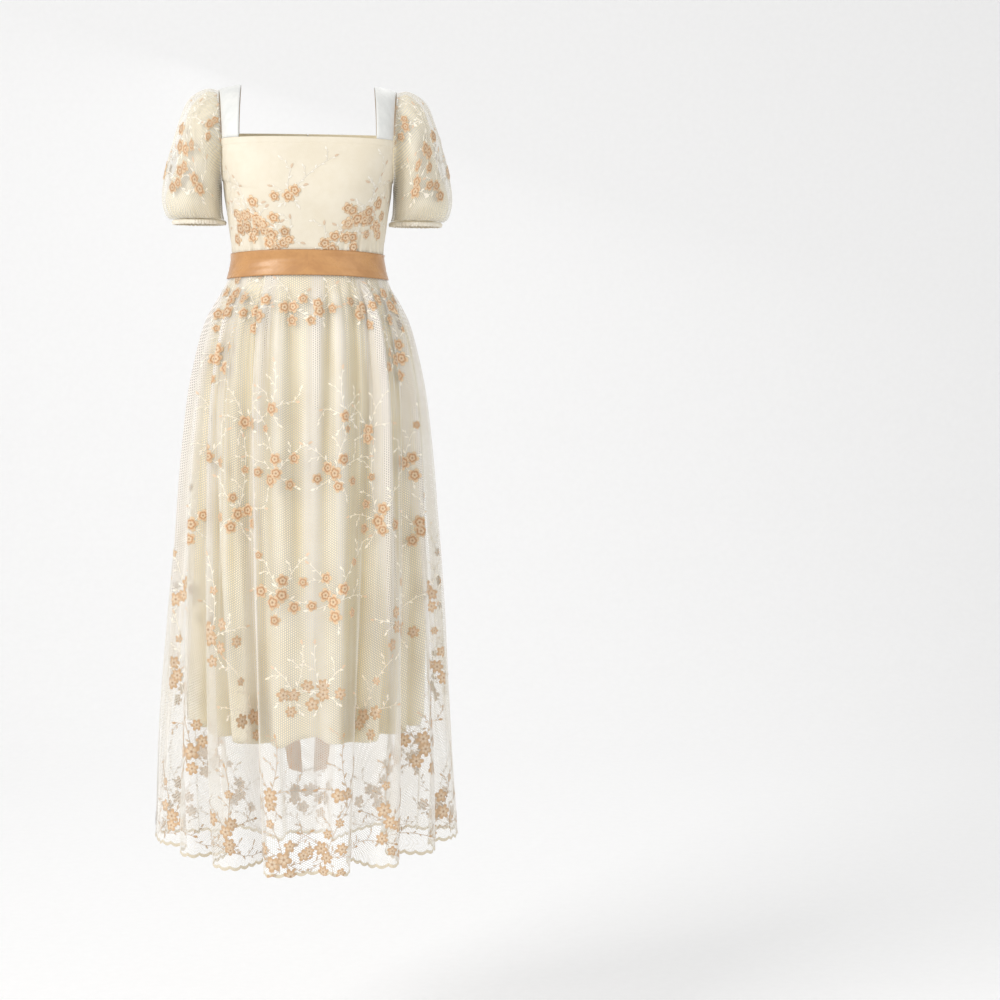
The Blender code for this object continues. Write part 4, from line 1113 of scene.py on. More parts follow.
def tail_grid(rows, side, seed):
    """One tail: it hangs just off the fullest points behind it, with a soft fold along it and slow waves."""
    levels = [Level(row.z, row.inner_x, row.outer_x, row.lift, 0.0) for row in rows]
    z = np.linspace(rows[0].z, rows[-1].z, 190)
    inner, outer, lift = (through(levels, column, z) for column in ("half_width", "front", "back"))
    heights = np.linspace(rows[0].z, rows[-1].z, 40)
    behind = np.array([back_reach(height, -0.046, 0.046) for height in heights])
    reach = np.interp(-z, -heights, behind)
    reach = np.maximum(reach, knot_centre()[1] - 0.004 - 0.02 * (rows[0].z - z) / 0.1)
    across = np.linspace(0, 1, 15)
    share = (rows[0].z - z) / (rows[0].z - rows[-1].z)
    shift = uneven(z, 0.26, seed) * 0.0014 * step(share, 0.05, 0.3)
    x = (inner[:, None] + (outer - inner)[:, None] * across + shift[:, None]) * side
    pleat = hump(across[None], 0.38 + 0.16 * np.sin(z * 7 + seed)[:, None], 0.10) * 0.0016
    pleat += hump(across[None], 0.80 + 0.05 * np.sin(z * 11)[:, None], 0.07) * 0.0009
    tight = (1 - step(share, 0.02, 0.14))[:, None]
    pleat = pleat * (0.5 + 0.5 * uneven(z, 0.30, seed + 1)[:, None] ** 2)
    pleat = pleat + tight * 0.0013 * (0.5 + 0.5 * np.sin(across * 6 * np.pi))[None]
    wave = (0.5 + 0.5 * uneven(z, 0.22, seed + 2)[:, None]) * 0.0012 * step(share, 0.1, 0.4)[:, None]
    y = reach[:, None] + lift[:, None] + 0.0012 * np.sin(np.pi * across)[None] + pleat + wave
    z = z[:, None] + TAIL_SLANT * across[None] * step(share, 0.965, 1.0)[:, None]
    grid = np.stack(np.broadcast_arrays(x, y, z), axis=-1)
    return grid[:, ::-1] if side > 0 else grid


def loop_path(count):
    """The folded ribbon along its edge: out on one layer, round the tip and back, evenly spaced."""
    share = np.linspace(0, 1, 200)
    straight = LOOP_LENGTH - LOOP_TIP_RADIUS
    half = LOOP_TIP_RADIUS + (LOOP_HALF_GAP - LOOP_TIP_RADIUS) * np.sin(np.pi * share)
    half -= (LOOP_TIP_RADIUS - LOOP_AT_KNOT) * (1 - share) ** 3
    outer = np.stack([share * straight, half], axis=-1)
    turn = np.linspace(math.pi / 2, -math.pi / 2, 60)[1:-1]
    round_tip = np.stack([straight + LOOP_TIP_RADIUS * np.cos(turn), LOOP_TIP_RADIUS * np.sin(turn)], axis=-1)
    path = np.concatenate([outer, round_tip, outer[::-1] * np.array([1.0, -1.0])])
    run = np.concatenate([[0.0], np.cumsum(np.linalg.norm(np.diff(path, axis=0), axis=1))])
    places = np.linspace(0, run[-1], count)
    return np.stack([np.interp(places, run, path[:, axis]) for axis in (0, 1)], axis=-1)


def loop_grid(side, seed):
    """One loop of the bow: the path drooping from the knot, wide at the middle, pleated into the knot."""
    path = loop_path(150)
    ahead = path[:, 0]
    opened = np.minimum(ahead / LOOP_LENGTH * 1.7, 1) ** 0.8
    wide = LOOP_WIDTH_AT_KNOT + (LOOP_WIDTH - LOOP_WIDTH_AT_KNOT) * opened
    start = knot_centre()
    start_x = KNOT[0] / 2 + SEAM_GAP + LOOP_WIDTH_AT_KNOT / 2 * math.sin(LOOP_DROOP)
    centre_x = start_x + ahead * math.cos(LOOP_DROOP)
    centre_z = start[2] - ahead * math.sin(LOOP_DROOP)
    middles = zip(centre_x[::6], centre_z[::6] - 0.012)
    behind = np.array([back_reach(z, x - 0.012, x + 0.012) for x, z in middles])
    behind = np.interp(np.arange(len(path)), np.arange(0, len(path), 6), behind)
    centre_y = np.maximum(start[1], behind + LOOP_HALF_GAP + LOOP_CLEARANCE)
    across = np.linspace(-0.5, 0.5, 17)[:, None]
    sag = 0.0018 * np.sin(ahead / LOOP_LENGTH * 9 + seed) * np.sign(across) * np.abs(2 * across) ** 2
    x = centre_x + wide * across * math.sin(LOOP_DROOP)
    z = centre_z + wide * across * math.cos(LOOP_DROOP) + sag
    grid = np.stack([x * side, np.broadcast_to(centre_y + path[:, 1], x.shape), z], axis=-1)
    tight = np.maximum(1 - ahead / LOOP_LENGTH / 0.75, 0) ** 1.3
    pleats = np.sin(across * 5 * np.pi + seed) * 0.0015 * tight
    out = np.where(path[:, 1] > 0, pleats, -np.abs(pleats) * 0.5)
    out = out + 0.0007 * np.cos(across * 7 + ahead * 60 + seed)
    out = out * step(np.abs(path[:, 1]), 0.001, 0.004) * np.where(path[:, 1] < 0, 0.4, 1.0)
    grid[..., 1] += out
    return grid if side > 0 else grid[::-1]


def build_bow():
    """Knot, loops and tails; the tails' grids aren't embroidered, so nothing is handed on."""
    turns = np.radians(np.linspace(0, 360, 73)[:-1])
    lifts = np.radians(np.linspace(90, -90, 31))[:, None]
    x, y = np.sin(turns) * np.cos(lifts), -np.cos(turns) * np.cos(lifts)
    ball = np.stack(np.broadcast_arrays(x, y, np.sin(lifts)), axis=-1)
    block = power(ball, 0.6) / 2 * KNOT
    creases = np.sin(block[..., 0] / KNOT[0] * 9 * np.pi) * 0.00045 * np.cos(lifts)
    creases -= 0.0007 * hump(block[..., 0], 0.0016, 0.0011) * np.cos(lifts)
    block = pushed(block, creases, closed=True) + knot_centre()
    knot = cloth(
        "sash_knot", block, CARAMEL, closed=True, edge=0.01, replaces=["sash_knot"]
    )
    for side, rows, sign, seed in (("left", TAIL_LEFT, 1, 51), ("right", TAIL_RIGHT, -1, 61)):
        grid = tail_grid(rows, sign, seed)
        share = np.linspace(0, 1, grid.shape[1])
        width = np.linalg.norm(grid[:, -1] - grid[:, 0], axis=1)[:, None]
        edge = np.minimum(share, 1 - share)[None] * width
        name = "sash_tail_" + side
        tail = cloth(name, grid, CARAMEL, wall=0.0006, edge=edge, replaces=[name])
        grid = loop_grid(sign, seed)
        across = np.linspace(0, 1, grid.shape[0])[:, None]
        edge = np.minimum(across, 1 - across) * LOOP_WIDTH
        name = "sash_loop_" + side
        loop = cloth(name, grid, CARAMEL, wall=0.0006, edge=edge, replaces=[name])


# --- Embroidery ---

Laid = collections.namedtuple("Laid", "points normals across down columns rows")


def laid_from(built):
    """What a motif needs to lie on a piece: its points and normals, and lengths along and down it."""
    grid, columns, rows = built[1:]
    return Laid(grid, normals_of(grid), run_of(grid, 1), run_of(grid, 0), columns, rows)


def surface_points(laid, row, column, lift):
    """Points at fractional rows and columns, straight between the grid's own, moved out by the lift."""
    row = np.clip(row, 0, len(laid.rows) - 1.001)
    column = np.clip(column, 0, len(laid.columns) - 1.001)
    r, c = row.astype(int), column.astype(int)
    v, u = (row - r)[:, None], (column - c)[:, None]
    found = []
    for field in (laid.points, laid.normals):
        high = field[r, c] * (1 - u) + field[r, c + 1] * u
        low = field[r + 1, c] * (1 - u) + field[r + 1, c + 1] * u
        found.append(high * (1 - v) + low * v)
    return found[0] + found[1] * lift[:, None]


def lay(laid, base_row, base_column, a, b, lift):
    """Flat motif points on the cloth: b is measured down the base's thread and a along the row it reaches."""
    thread = np.clip(np.round(base_column).astype(int), 0, len(laid.columns) - 1)
    steps = laid.down[:, thread]
    row = np.interp(np.interp(base_row, np.arange(len(steps)), steps) + b, steps, np.arange(len(steps)))
    near = np.clip(np.round(row).astype(int), 0, len(laid.rows) - 1)
    gap = laid.across[:, -1].max() + 1.0
    ladder = (laid.across + np.arange(len(laid.rows))[:, None] * gap).ravel()
    wanted = np.interp(base_column, np.arange(len(laid.columns)), laid.columns)
    whole = np.arange(len(laid.columns))
    order = 1 if laid.columns[-1] > laid.columns[0] else -1
    home = np.interp(wanted, laid.columns[::order], whole[::order])
    start = laid.across[near, int(home)] + (home - int(home)) * (
        laid.across[near, min(int(home) + 1, len(whole) - 1)] - laid.across[near, int(home)]
    )
    along = np.clip(start + a, 0, laid.across[near, -1])
    index = np.searchsorted(ladder, along + near * gap) - near * len(whole)
    index = np.clip(index, 1, len(whole) - 1)
    left = laid.across[near, index - 1]
    width = np.maximum(laid.across[near, index] - left, 1e-9)
    column = index - 1 + np.clip((along - left) / width, 0, 1)
    return surface_points(laid, row, column, lift)


def nearest(laid, x, z, forward):
    """Row and column of the grid point nearest to a place seen from the front (-1) or the back (1)."""
    away = (laid.points[..., 0] - x) ** 2 + (laid.points[..., 2] - z) ** 2
    away = away - forward * laid.points[..., 1] * 0.0006
    row, column = np.unravel_index(np.argmin(away), away.shape)
    return float(row), float(column)


# thread tones: a mid tone, a painted highlight tone and a painted shadow tone
PEACH = np.array([colour(225, 187, 141), colour(245, 222, 188), colour(164, 114, 68)])
TAN = np.array([colour(219, 184, 145), colour(240, 220, 192), colour(174, 130, 90)])
IVORY = np.array(colour(252, 246, 232))
BEIGE = np.array(colour(206, 184, 158))
BUD_BROWN = np.array(colour(206, 166, 122))

Motif = collections.namedtuple("Motif", "points faces uv paint")


def flower(centre, radius, kind, turned, paints, tone):
    """A stitched flower: rings of points whose rim is cut between petals by a power of a cosine of the turn.

    A rosette has five full swirling petals raised in a ring; a flat one has five or six deeply cut ones.
    """
    raised = kind == "rosette"
    petals = 5 if raised or turned < 3 else 6
    columns = petals * (3 if raised else 4)
    shares = np.array([0.0, 0.30, 0.55, 0.80, 1.0] if raised else [0.0, 0.30, 0.62, 1.0])[:, None]
    rises = np.array([0.5, 1.5, 0.9, 1.7, 0.35] if raised else [0.8, 1.0, 0.6, 0.4])[:, None] * 0.001
    turn = np.linspace(0, 2 * np.pi, columns, endpoint=False)[None]
    lobe = np.abs(np.cos((turn + math.pi / petals) * petals / 2)) ** 0.7
    cut = (0.30 if raised else 0.42) * (1 - lobe) * shares
    size = radius * shares * (1 - cut)
    angle = turn + turned + shares * (0.5 if raised else 0.0)
    across, up = centre[0] + size * np.sin(angle), centre[1] + size * np.cos(angle)
    points = np.stack(np.broadcast_arrays(across, up, rises * (1 - 0.25 * cut)), axis=-1)
    faces, row, column = quads(len(shares), columns, True)
    uv = np.stack([column * petals / columns, shares[row, 0]], axis=-1)
    # rings of painted shadow, painted highlight and mid tones make a rosette look raised; a flat flower gets
    # a painted shadow at its centre and a lit ring round it
    ring = [paints[2], paints[1], paints[2] * 1.45, paints[1], paints[0] * 0.90]
    if not raised:
        ring = [paints[2], paints[1], paints[0], paints[0] * 0.88]
    paint = np.repeat(np.array(ring) * tone, columns, axis=0)
    return Motif(points.reshape(-1, 3), faces, uv, paint)


def strip(path, width, rise, paint):
    """A raised satin-stitched strip along a path: three points across, the middle one highest."""
    heading = np.gradient(path, axis=0)
    heading = heading / np.maximum(np.linalg.norm(heading, axis=1, keepdims=True), 1e-9)
    sideways = np.stack([heading[:, 1], -heading[:, 0]], axis=-1)
    across = np.array([-1.0, 0.0, 1.0])
    flat = path[:, None] + sideways[:, None] * (across[:, None] * (np.asarray(width) / 2).reshape(-1, 1, 1))
    lift = np.broadcast_to(0.0003 + rise * (1 - np.abs(across)), flat.shape[:2])
    points = np.concatenate([flat, lift[..., None]], axis=-1)
    faces, row, column = quads(len(path), 3, False)
    run = np.concatenate([[0.0], np.cumsum(np.linalg.norm(np.diff(path, axis=0), axis=1))]) / 0.0012
    uv = np.stack([run[row] + column * 0.25, column / 2], axis=-1)
    return Motif(points.reshape(-1, 3), faces, uv, np.tile(paint, (len(path) * 3, 1)))


def leaf(start, angle, length, width, paint):
    """A leaf: a strip whose width goes as a power of the sine of the share along it, with a slight bend."""
    share = np.linspace(0, 1, 5)
    bend = angle + 0.5 * (share - 0.5)
    steps = np.stack([np.sin(bend), -np.cos(bend)], axis=-1) * length / 4
    path = np.array(start) + np.concatenate([[[0.0, 0.0]], np.cumsum(steps[:-1], axis=0)])
    return strip(path, width * np.sin(np.pi * np.clip(share, 0.03, 0.97)) ** 0.8, 0.0005, paint)


def stem(start, angle, length, bend, thickness, paint):
    """A stem from a start: its heading turns evenly by the bend along it; its path and its strip."""
    count = max(4, round(length / 0.0045))
    heading = angle + bend * np.linspace(0, 1, count)
    steps = np.stack([np.sin(heading), -np.cos(heading)], axis=-1) * length / (count - 1)
    path = np.array(start) + np.concatenate([[[0.0, 0.0]], np.cumsum(steps[:-1], axis=0)])
    return path, heading, strip(path, np.full(count, thickness), 0.0005, paint)


def leafy_stem(start, angle, length, bend, paint, rng, scale=1.0, twigs=True):
    """A stem with leaves that alternate, a side twig at every third and a bud at its tip."""
    path, heading, made = stem(start, angle, length, bend, 0.0009 * scale, paint)
    parts = [made]
    count = max(2, round(length / (0.0115 * scale)))
    for index in range(count):
        share = (index + 0.6) / count
        place = np.array([np.interp(share, np.linspace(0, 1, len(path)), path[:, axis]) for axis in (0, 1)])
        ahead = np.interp(share, np.linspace(0, 1, len(path)), heading)
        hand = 1 if index % 2 else -1
        if twigs and index % 4 == 2:
            reach = rng.uniform(0.014, 0.026) * scale
            parts += leafy_stem(place, ahead + hand * 0.75, reach, hand * 0.5, paint, rng, scale * 0.8, False)
        else:
            size = rng.uniform(0.0065, 0.0095) * scale * (1.1 - 0.4 * share)
            parts.append(leaf(place, ahead + hand * rng.uniform(0.45, 0.8), size, size * 0.34, paint))
    tip = paint * 0.35 + BUD_BROWN * 0.65 if twigs else paint
    parts.append(leaf(path[-1], heading[-1], 0.0085 * scale, 0.0040 * scale, tip))
    return parts


def joined(motifs):
    """Several motifs as one: their points and paints end to end, and their faces numbered on."""
    counts = np.cumsum([0] + [len(motif.points) for motif in motifs])
    faces = np.concatenate([motif.faces + start for motif, start in zip(motifs, counts)])
    fields = [
        np.concatenate([getattr(motif, field) for motif in motifs]) for field in ("points", "uv", "paint")
    ]
    return Motif(fields[0], faces, fields[1], fields[2])


def sprig_motifs(sprig, hand, paint, rng):
    """One sprig: flowers packed by the golden angle, a leafy stem up from them and shorter ones about it."""
    lean = math.radians(sprig.lean) * hand
    tone = rng.uniform(0.93, 1.05)
    paints = (PEACH if sprig.kind == "rosette" else TAN) * tone
    flowers, twigs = [], []
    for index in range(sprig.flowers):
        away = sprig.radius * 1.80 * math.sqrt(index) * rng.uniform(0.94, 1.06)
        turn = index * 2.4 * hand + sprig.x * 40
        centre = (away * math.sin(turn), away * math.cos(turn) * 0.8)
        size = sprig.radius * rng.uniform(1.06, 1.34) * (1 - 0.04 * index)
        flowers.append(flower(centre, size, sprig.kind, rng.uniform(0, 6), paints, rng.uniform(0.94, 1.05)))
    foot = sprig.radius * 0.8
    for side, share, angle, bend in ((0, 1.0, 0.0, 0.5), (-1, 0.55, -0.9, -0.5), (1, 0.62, 0.8, 0.6)):
        heading = lean + angle * hand
        start = (foot * math.sin(heading), -foot * math.cos(heading))
        twigs += leafy_stem(start, heading, sprig.length * share, bend * hand, paint, rng)
        if side == 0 and sprig.length > 0.08:
            far = stem_end(start, heading, sprig.length * 0.55, bend * hand * 0.55)
            flowers.append(flower(far, sprig.radius * 0.72, sprig.kind, rng.uniform(0, 6), paints, 1.0))
    for angle in (2.3, -2.5):
        heading = lean + angle * hand
        start = (foot * math.sin(heading), -foot * math.cos(heading))
        twigs += leafy_stem(start, heading, sprig.length * 0.30, 0.4 * hand, paint, rng, 0.9, False)
    return flowers, twigs


def stem_end(start, angle, length, bend):
    """Where a stem of this length ends: its start plus its length along its mean heading."""
    heading = angle + bend / 2
    return (start[0] + math.sin(heading) * length, start[1] - math.cos(heading) * length)


def twig_paint(z):
    """Thread over the lining is ivory, and beige where the net hangs below it."""
    share = float(step(-z, 0.93, 1.03))
    return IVORY * (1 - share) + BEIGE * share


def stitch_on(name, laid, groups):
    """Lays groups of motifs, each with its base on the cloth, as one mesh of flowers and one of twigs."""
    pieces = []
    for kind, material in (("flowers", FLOWER_THREAD), ("twigs", TWIG_THREAD)):
        placed = []
        for row, column, motifs in groups[kind]:
            motif = joined(motifs)
            points = lay(laid, row, column, motif.points[:, 0], motif.points[:, 1], motif.points[:, 2])
            placed.append(motif._replace(points=points))
        if not placed:
            continue
        whole = joined(placed)
        paint = np.concatenate([np.clip(whole.paint, 0, 1), np.ones((len(whole.paint), 1))], axis=1)
        piece = finish_mesh(
            f"{name}_{kind}", whole.points, whole.faces, "stitch", whole.uv, {"thread": paint}, material
        )
        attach(piece, "gown")
        pieces.append(piece)
    return pieces


def embroider(name, built, sprigs, forward, seed, hands=(1, -1), extra=None):
    """All the sprigs of one piece, each with its mirror image a little changed."""
    laid = laid_from(built)
    rng = np.random.default_rng(seed)
    groups = {"flowers": [], "twigs": []}
    for sprig in sprigs:
        for hand in hands:
            x = (sprig.x + rng.uniform(-0.004, 0.004)) * hand
            z = sprig.z + rng.uniform(-0.006, 0.006)
            row, column = nearest(laid, x, z, forward)
            turned = hand * (1 if forward < 0 else -1)
            flowers, twigs = sprig_motifs(sprig, turned, twig_paint(z), rng)
            if flowers:
                groups["flowers"].append((row, column, flowers))
            groups["twigs"].append((row, column, twigs))
    if extra:
        extra(laid, groups, rng)
    return stitch_on(name, laid, groups)


GARLAND_START = 0.02
GARLAND_STEP = 0.088
GARLAND_VINE = 0.078


def hem_garland(laid, groups, rng):
    """A running vine above the hem: stems that bend to each side in turn, some with flat flowers."""
    length = laid.across[-1, -1]
    rows = len(laid.rows)
    thread = 0
    while thread * GARLAND_STEP < length - 0.05:
        start = GARLAND_START + thread * GARLAND_STEP
        column = np.interp(start, laid.across[-1], np.arange(len(laid.columns)))
        near = int(round(column))
        steps = laid.down[:, near]
        row = np.interp(steps[-1] - rng.uniform(0.017, 0.030), steps, np.arange(rows))
        hand = 1 if thread % 2 else -1
        twigs = leafy_stem((0.0, 0.0), math.pi / 2 - 0.5 * hand, GARLAND_VINE, hand * 0.9, BEIGE, rng, 0.95)
        groups["twigs"].append((row, column, twigs))
        flowers = []
        for index in range(int(rng.integers(0, 3)) if thread % 3 == 1 else 0):
            centre = (index * 0.015 - 0.004, rng.uniform(-0.010, 0.004))
            size, turned, tone = rng.uniform(0.0065, 0.009), rng.uniform(0, 6), rng.uniform(0.92, 1.06)
            flowers.append(flower(centre, size, "flat", turned, TAN, tone))
        if flowers:
            groups["flowers"].append((row, column, flowers))
        thread += 1


FRONT_SPRIGS = [
    Sprig(0.124, -0.338, 12, 0.085, 7, 0.0099, "rosette"),
    Sprig(0.083, -0.352, -18, 0.050, 5, 0.0093, "rosette"),
    Sprig(0.022, -0.344, 20, 0.045, 4, 0.0087, "rosette"),
    Sprig(0.141, -0.415, 25, 0.090, 6, 0.0099, "rosette"),
    Sprig(0.057, -0.500, -15, 0.065, 1, 0.0099, "rosette"),
    Sprig(0.095, -0.520, 20, 0.075, 2, 0.0093, "rosette"),
    Sprig(0.043, -0.595, 12, 0.115, 6, 0.0099, "rosette"),
    Sprig(0.150, -0.580, 15, 0.100, 4, 0.0099, "rosette"),
    Sprig(0.108, -0.660, -18, 0.110, 6, 0.0099, "rosette"),
    Sprig(0.040, -0.778, 28, 0.115, 7, 0.0104, "rosette"),
    Sprig(0.145, -0.840, -10, 0.120, 8, 0.0104, "flat"),
    Sprig(0.192, -0.790, 12, 0.110, 6, 0.0099, "flat"),
    Sprig(0.019, -0.930, -22, 0.070, 4, 0.0099, "flat"),
    Sprig(0.086, -0.968, 15, 0.095, 5, 0.0102, "flat"),
    Sprig(0.180, -1.030, 8, 0.125, 8, 0.0107, "flat"),
    Sprig(0.125, -1.128, -14, 0.090, 4, 0.0102, "flat"),
    Sprig(0.032, -1.168, 14, 0.090, 7, 0.0102, "flat"),
    Sprig(0.060, -1.075, -20, 0.080, 2, 0.0095, "flat"),
    Sprig(0.216, -1.140, 12, 0.085, 4, 0.0099, "flat"),
    Sprig(0.178, -0.680, 8, 0.090, 4, 0.0095, "rosette"),
    Sprig(0.205, -0.915, -8, 0.090, 5, 0.0099, "flat"),
]
BACK_SPRIGS = [
    Sprig(0.120, -0.350, 14, 0.080, 6, 0.0099, "rosette"),
    Sprig(0.068, -0.385, 22, 0.060, 4, 0.0093, "rosette"),
    Sprig(0.098, -0.470, -14, 0.070, 2, 0.0093, "rosette"),
    Sprig(0.066, -0.520, 14, 0.075, 4, 0.0095, "rosette"),
    Sprig(0.148, -0.480, 18, 0.085, 5, 0.0099, "rosette"),
    Sprig(0.110, -0.590, 10, 0.105, 6, 0.0099, "rosette"),
    Sprig(0.158, -0.655, -12, 0.105, 6, 0.0102, "rosette"),
    Sprig(0.072, -0.665, 18, 0.080, 4, 0.0095, "rosette"),
    Sprig(0.105, -0.770, 16, 0.110, 7, 0.0104, "rosette"),
    Sprig(0.175, -0.800, -12, 0.110, 7, 0.0102, "flat"),
    Sprig(0.070, -0.880, -16, 0.090, 5, 0.0099, "flat"),
    Sprig(0.150, -0.925, 12, 0.105, 7, 0.0104, "flat"),
    Sprig(0.205, -0.960, 8, 0.090, 5, 0.0099, "flat"),
    Sprig(0.100, -1.010, 14, 0.100, 6, 0.0102, "flat"),
    Sprig(0.170, -1.085, -8, 0.115, 7, 0.0107, "flat"),
    Sprig(0.115, -1.165, 12, 0.085, 5, 0.0102, "flat"),
    Sprig(0.020, -1.175, -14, 0.070, 5, 0.0099, "flat"),
    Sprig(0.214, -1.150, 10, 0.080, 5, 0.0099, "flat"),
]
BODICE_SPRIGS = [
    Sprig(0.038, -0.252, -30, 0.034, 3, 0.0088, "rosette"),
    Sprig(0.054, -0.233, 20, 0.034, 4, 0.0094, "rosette"),
    Sprig(0.072, -0.213, 26, 0.040, 5, 0.0098, "rosette"),
    Sprig(0.090, -0.199, 8, 0.052, 5, 0.0098, "rosette"),
    Sprig(0.106, -0.222, 30, 0.040, 4, 0.0092, "rosette"),
    Sprig(0.112, -0.166, 6, 0.040, 0, 0.0070, "rosette"),
]
BODICE_BACK_SPRIGS = [
    Sprig(0.094, -0.168, 10, 0.050, 7, 0.0094, "rosette"),
    Sprig(0.062, -0.134, -14, 0.036, 3, 0.0088, "rosette"),
    Sprig(0.040, -0.215, 20, 0.050, 0, 0.0080, "rosette"),
    Sprig(0.082, -0.236, -12, 0.050, 0, 0.0080, "rosette"),
]
SLEEVE_SPRIGS = [
    Sprig(0.186, -0.112, 14, 0.060, 5, 0.0090, "rosette"),
    Sprig(0.200, -0.158, 22, 0.040, 3, 0.0088, "rosette"),
    Sprig(0.164, -0.168, -12, 0.040, 2, 0.0084, "rosette"),
    Sprig(0.146, -0.070, 2, 0.040, 3, 0.0070, "rosette"),
    Sprig(0.226, -0.124, 4, 0.050, 2, 0.0084, "rosette"),
    Sprig(0.180, -0.056, 10, 0.045, 0, 0.0068, "rosette"),
]


def lone_sprig(laid, groups, rng):
    """One small sprig off the middle of the bodice, whose vine climbs past the centre to the neck edge."""
    row, column = nearest(laid, -0.030, -0.176, -1)
    cluster, vine = sprig_motifs(Sprig(0.0, 0.0, 0, 0.036, 3, 0.0088, "rosette"), 1, IVORY, rng)
    vine += leafy_stem((0.008, -0.010), 0.75, 0.085, 0.35, IVORY, rng, 0.9)
    groups["flowers"].append((row, column, cluster))
    groups["twigs"].append((row, column, vine))


def build_embroidery(skirts, bodice, sleeves):
    """Every piece's stitching, and the names of what lies on each."""
    sewn = {}
    for side, sprigs, forward, seed in (("front", FRONT_SPRIGS, -1, 101), ("back", BACK_SPRIGS, 1, 102)):
        name = "skirt_" + side
        sewn[name] = embroider(name, skirts[name], sprigs, forward, seed, extra=hem_garland)
    name = "bodice_front"
    sewn[name] = embroider(name, bodice[name], BODICE_SPRIGS, -1, 103, extra=lone_sprig)
    for side, hand in (("left", 1), ("right", -1)):
        name = "bodice_back_" + side
        sewn[name] = embroider(name, bodice[name], BODICE_BACK_SPRIGS, 1, 104, hands=(hand,))
        name = "sleeve_" + side
        piece, grid, _, rows = sleeves[name]
        half = grid.shape[1] // 2
        opened = (piece, np.roll(grid, half, axis=1), np.arange(grid.shape[1], dtype=float), rows)
        sewn[name] = embroider(name + "_front", opened, SLEEVE_SPRIGS, -1, 105, hands=(hand,))
        sewn[name] += embroider(name + "_back", opened, SLEEVE_SPRIGS, 1, 106, hands=(hand,))
    return sewn


# --- Zip ---


TEETH_TOP = -0.0800
TEETH_END = -0.2570
TOOTH_PITCH = 0.0014
TOOTH = np.array([0.00105, 0.0007, 0.0009])
TOOTH_SET_IN = 0.00075
TRIM_BEVEL = 0.0002


def build_zip():
    """Tape, slider and tab in their finishes, and a small slanting bar for each coil tooth in the slit."""
    for node, material in (("zip_tape", TAPE), ("zip_slider", DARK_METAL), ("zip_pull", PULL_ENAMEL)):
        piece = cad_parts[node]
        piece.data.materials.clear()
        piece.data.materials.append(material)
        if node != "zip_tape":
            bevel = piece.modifiers.new("worn_edges", "BEVEL")
            bevel.width = TRIM_BEVEL
            bevel.segments = 2
            bevel.limit_method = "ANGLE"
    z = np.arange(TEETH_TOP, TEETH_END, -TOOTH_PITCH)
    up = (z - waist_height(180.0)) / (BACK_NECK - waist_height(180.0))
    centre = bodice_half(np.float64(0.0), up, True)
    corners = np.array([[x, y, h] for x in (-1, 1) for y in (-1, 1) for h in (-1, 1)]) * 0.5
    hand = np.where(np.arange(len(z)) % 2, 1.0, -1.0)
    middle = np.stack([hand * 0.00004, centre[:, 1] - TOOTH_SET_IN, z], axis=-1)
    points = middle[:, None] + corners[None] * TOOTH
    points[..., 2] += corners[None, :, 0] * 0.0003 * hand[:, None]
    block = np.array([[0, 1, 3, 2], [4, 6, 7, 5], [0, 4, 5, 1], [2, 3, 7, 6], [0, 2, 6, 4], [1, 5, 7, 3]])
    faces = (block[None] + np.arange(len(z))[:, None, None] * 8).reshape(-1, 4)
    uv = np.tile(np.array([[0, 0], [1, 0], [1, 1], [0, 1]]) * 0.001, (len(faces), 1))
    teeth = finish_mesh("zip_teeth", points.reshape(-1, 3), faces, "cloth", uv, {}, TAPE)
    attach(teeth, "gown")


# --- Stage ---


FLOOR_Z = -1.62
PAPER_BEND_START = 2.6
PAPER_BEND_RUN = 1.5
PAPER_BEND_RADIUS = 1.0
ROOM_BRIGHTNESS = 0.66
LIGHTS_AIM = Vector((0.0, 0.0, -0.65))
CAMERA_PLACE = (0.0, -3.5, -0.341)
CAMERA_LENS = 79.4
CAMERA_SENSOR = 36.0
CAMERA_TILT, CAMERA_TURN, CAMERA_ROLL = 90 - 5.0, -5.0, 0.46

Lamp = collections.namedtuple("Lamp", "name place size watts tint")
LAMPS = (
    Lamp("key", (-2.5, -2.3, 1.4), 1.5, 78, (1.0, 0.99, 0.98)),
    Lamp("fill", (2.4, -2.4, 0.2), 2.4, 16, (0.98, 0.99, 1.0)),
    Lamp("rim", (0.6, 2.6, 1.4), 2.4, 16, (1.0, 1.0, 1.0)),
)


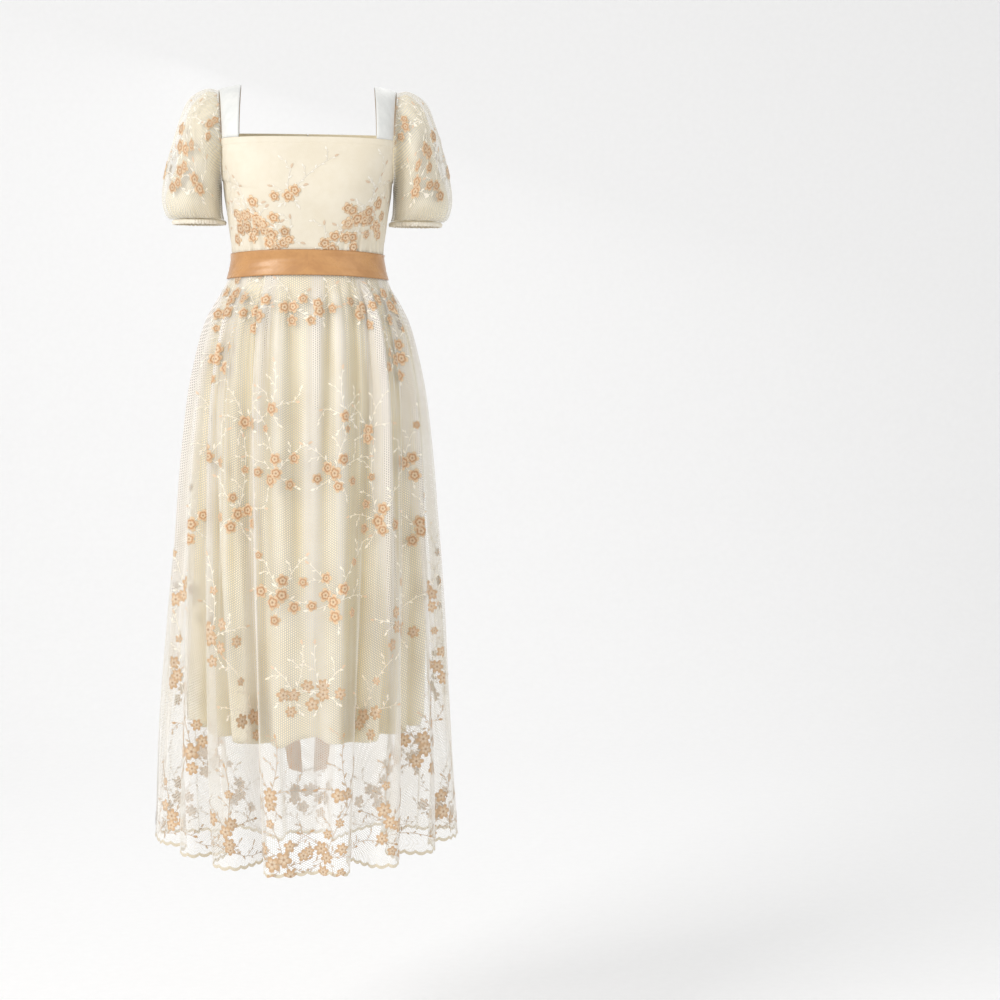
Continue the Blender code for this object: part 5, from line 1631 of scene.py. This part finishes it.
def lay_paper():
    """A plain pale floor that bends up behind in a quarter round and then climbs straight."""
    run = np.linspace(-6.0, 6.0, 60)
    depth = np.clip(run, -6.0, PAPER_BEND_START)
    turn = np.clip((run - PAPER_BEND_START) / PAPER_BEND_RUN, 0, 1) * math.pi / 2
    past_bend = np.maximum(run - (PAPER_BEND_START + PAPER_BEND_RUN), 0)
    y = depth + PAPER_BEND_RADIUS * np.sin(turn)
    z = FLOOR_Z + PAPER_BEND_RADIUS * (1 - np.cos(turn)) + past_bend * 3.0
    x = np.linspace(-7.0, 7.0, 12)
    grid = np.stack(np.broadcast_arrays(x[None], y[:, None], z[:, None]), axis=-1)
    made, tree, feed = new_material("studio_paper", Roughness=0.9)
    where = add(tree, "ShaderNodeTexCoord").outputs["Object"]
    patch = use_group(tree, "cloud", Vector=where, Scale=60.0)
    feed("Base Color", blended(tree, patch, (0.985, 0.985, 0.985, 1), (0.97, 0.97, 0.97, 1)))
    faces, row, column = quads(len(run), len(x), False)
    uv = np.stack([column, row], axis=-1) * 1.0
    paper = finish_mesh("studio_floor", grid.reshape(-1, 3), faces[:, ::-1], "cloth", uv, {}, made)


def hang_lamps():
    """Three soft square lights that aim at the gown's middle."""
    for lamp in LAMPS:
        light = bpy.data.lights.new(lamp.name, "AREA")
        light.shape = "SQUARE"
        light.size = lamp.size
        light.energy = lamp.watts
        light.color = lamp.tint
        hung = bpy.data.objects.new(lamp.name, light)
        hung.location = lamp.place
        aim = LIGHTS_AIM - Vector(lamp.place)
        hung.rotation_euler = aim.to_track_quat("-Z", "Y").to_euler()
        bpy.context.scene.collection.objects.link(hung)


def brighten_room():
    """Pale surroundings, the same from every side."""
    world = bpy.data.worlds.new("pale_room")
    world.use_nodes = True
    sky = world.node_tree.nodes["Background"]
    sky.inputs["Color"].default_value = (1.0, 1.0, 1.0, 1.0)
    sky.inputs["Strength"].default_value = ROOM_BRIGHTNESS
    bpy.context.scene.world = world


def place_camera():
    """The camera in front of the gown, tilted down a little, turned aside and rolled."""
    lens = bpy.data.cameras.new("view")
    lens.lens = CAMERA_LENS
    lens.sensor_width = CAMERA_SENSOR
    camera = bpy.data.objects.new("view", lens)
    camera.location = CAMERA_PLACE
    turned = Euler((math.radians(CAMERA_TILT), 0.0, math.radians(CAMERA_TURN)), "XYZ")
    camera.rotation_euler = turned
    camera.rotation_euler.rotate_axis("Z", math.radians(CAMERA_ROLL))
    bpy.context.scene.collection.objects.link(camera)
    bpy.context.scene.camera = camera


def build_stage():
    """Paper, lights, surroundings and camera."""
    lay_paper()
    hang_lamps()
    brighten_room()
    place_camera()


def main():
    build_stage()
    skirts = build_skirts()
    bodice = build_bodice()
    build_straps()
    sleeves = build_sleeves()
    build_sash()
    build_bow()
    build_zip()
    sewn = build_embroidery(skirts, bodice, sleeves)
    bpy.context.scene.cycles.transparent_max_bounces = 24
    bpy.context.scene.view_settings.view_transform = "Standard"


main()
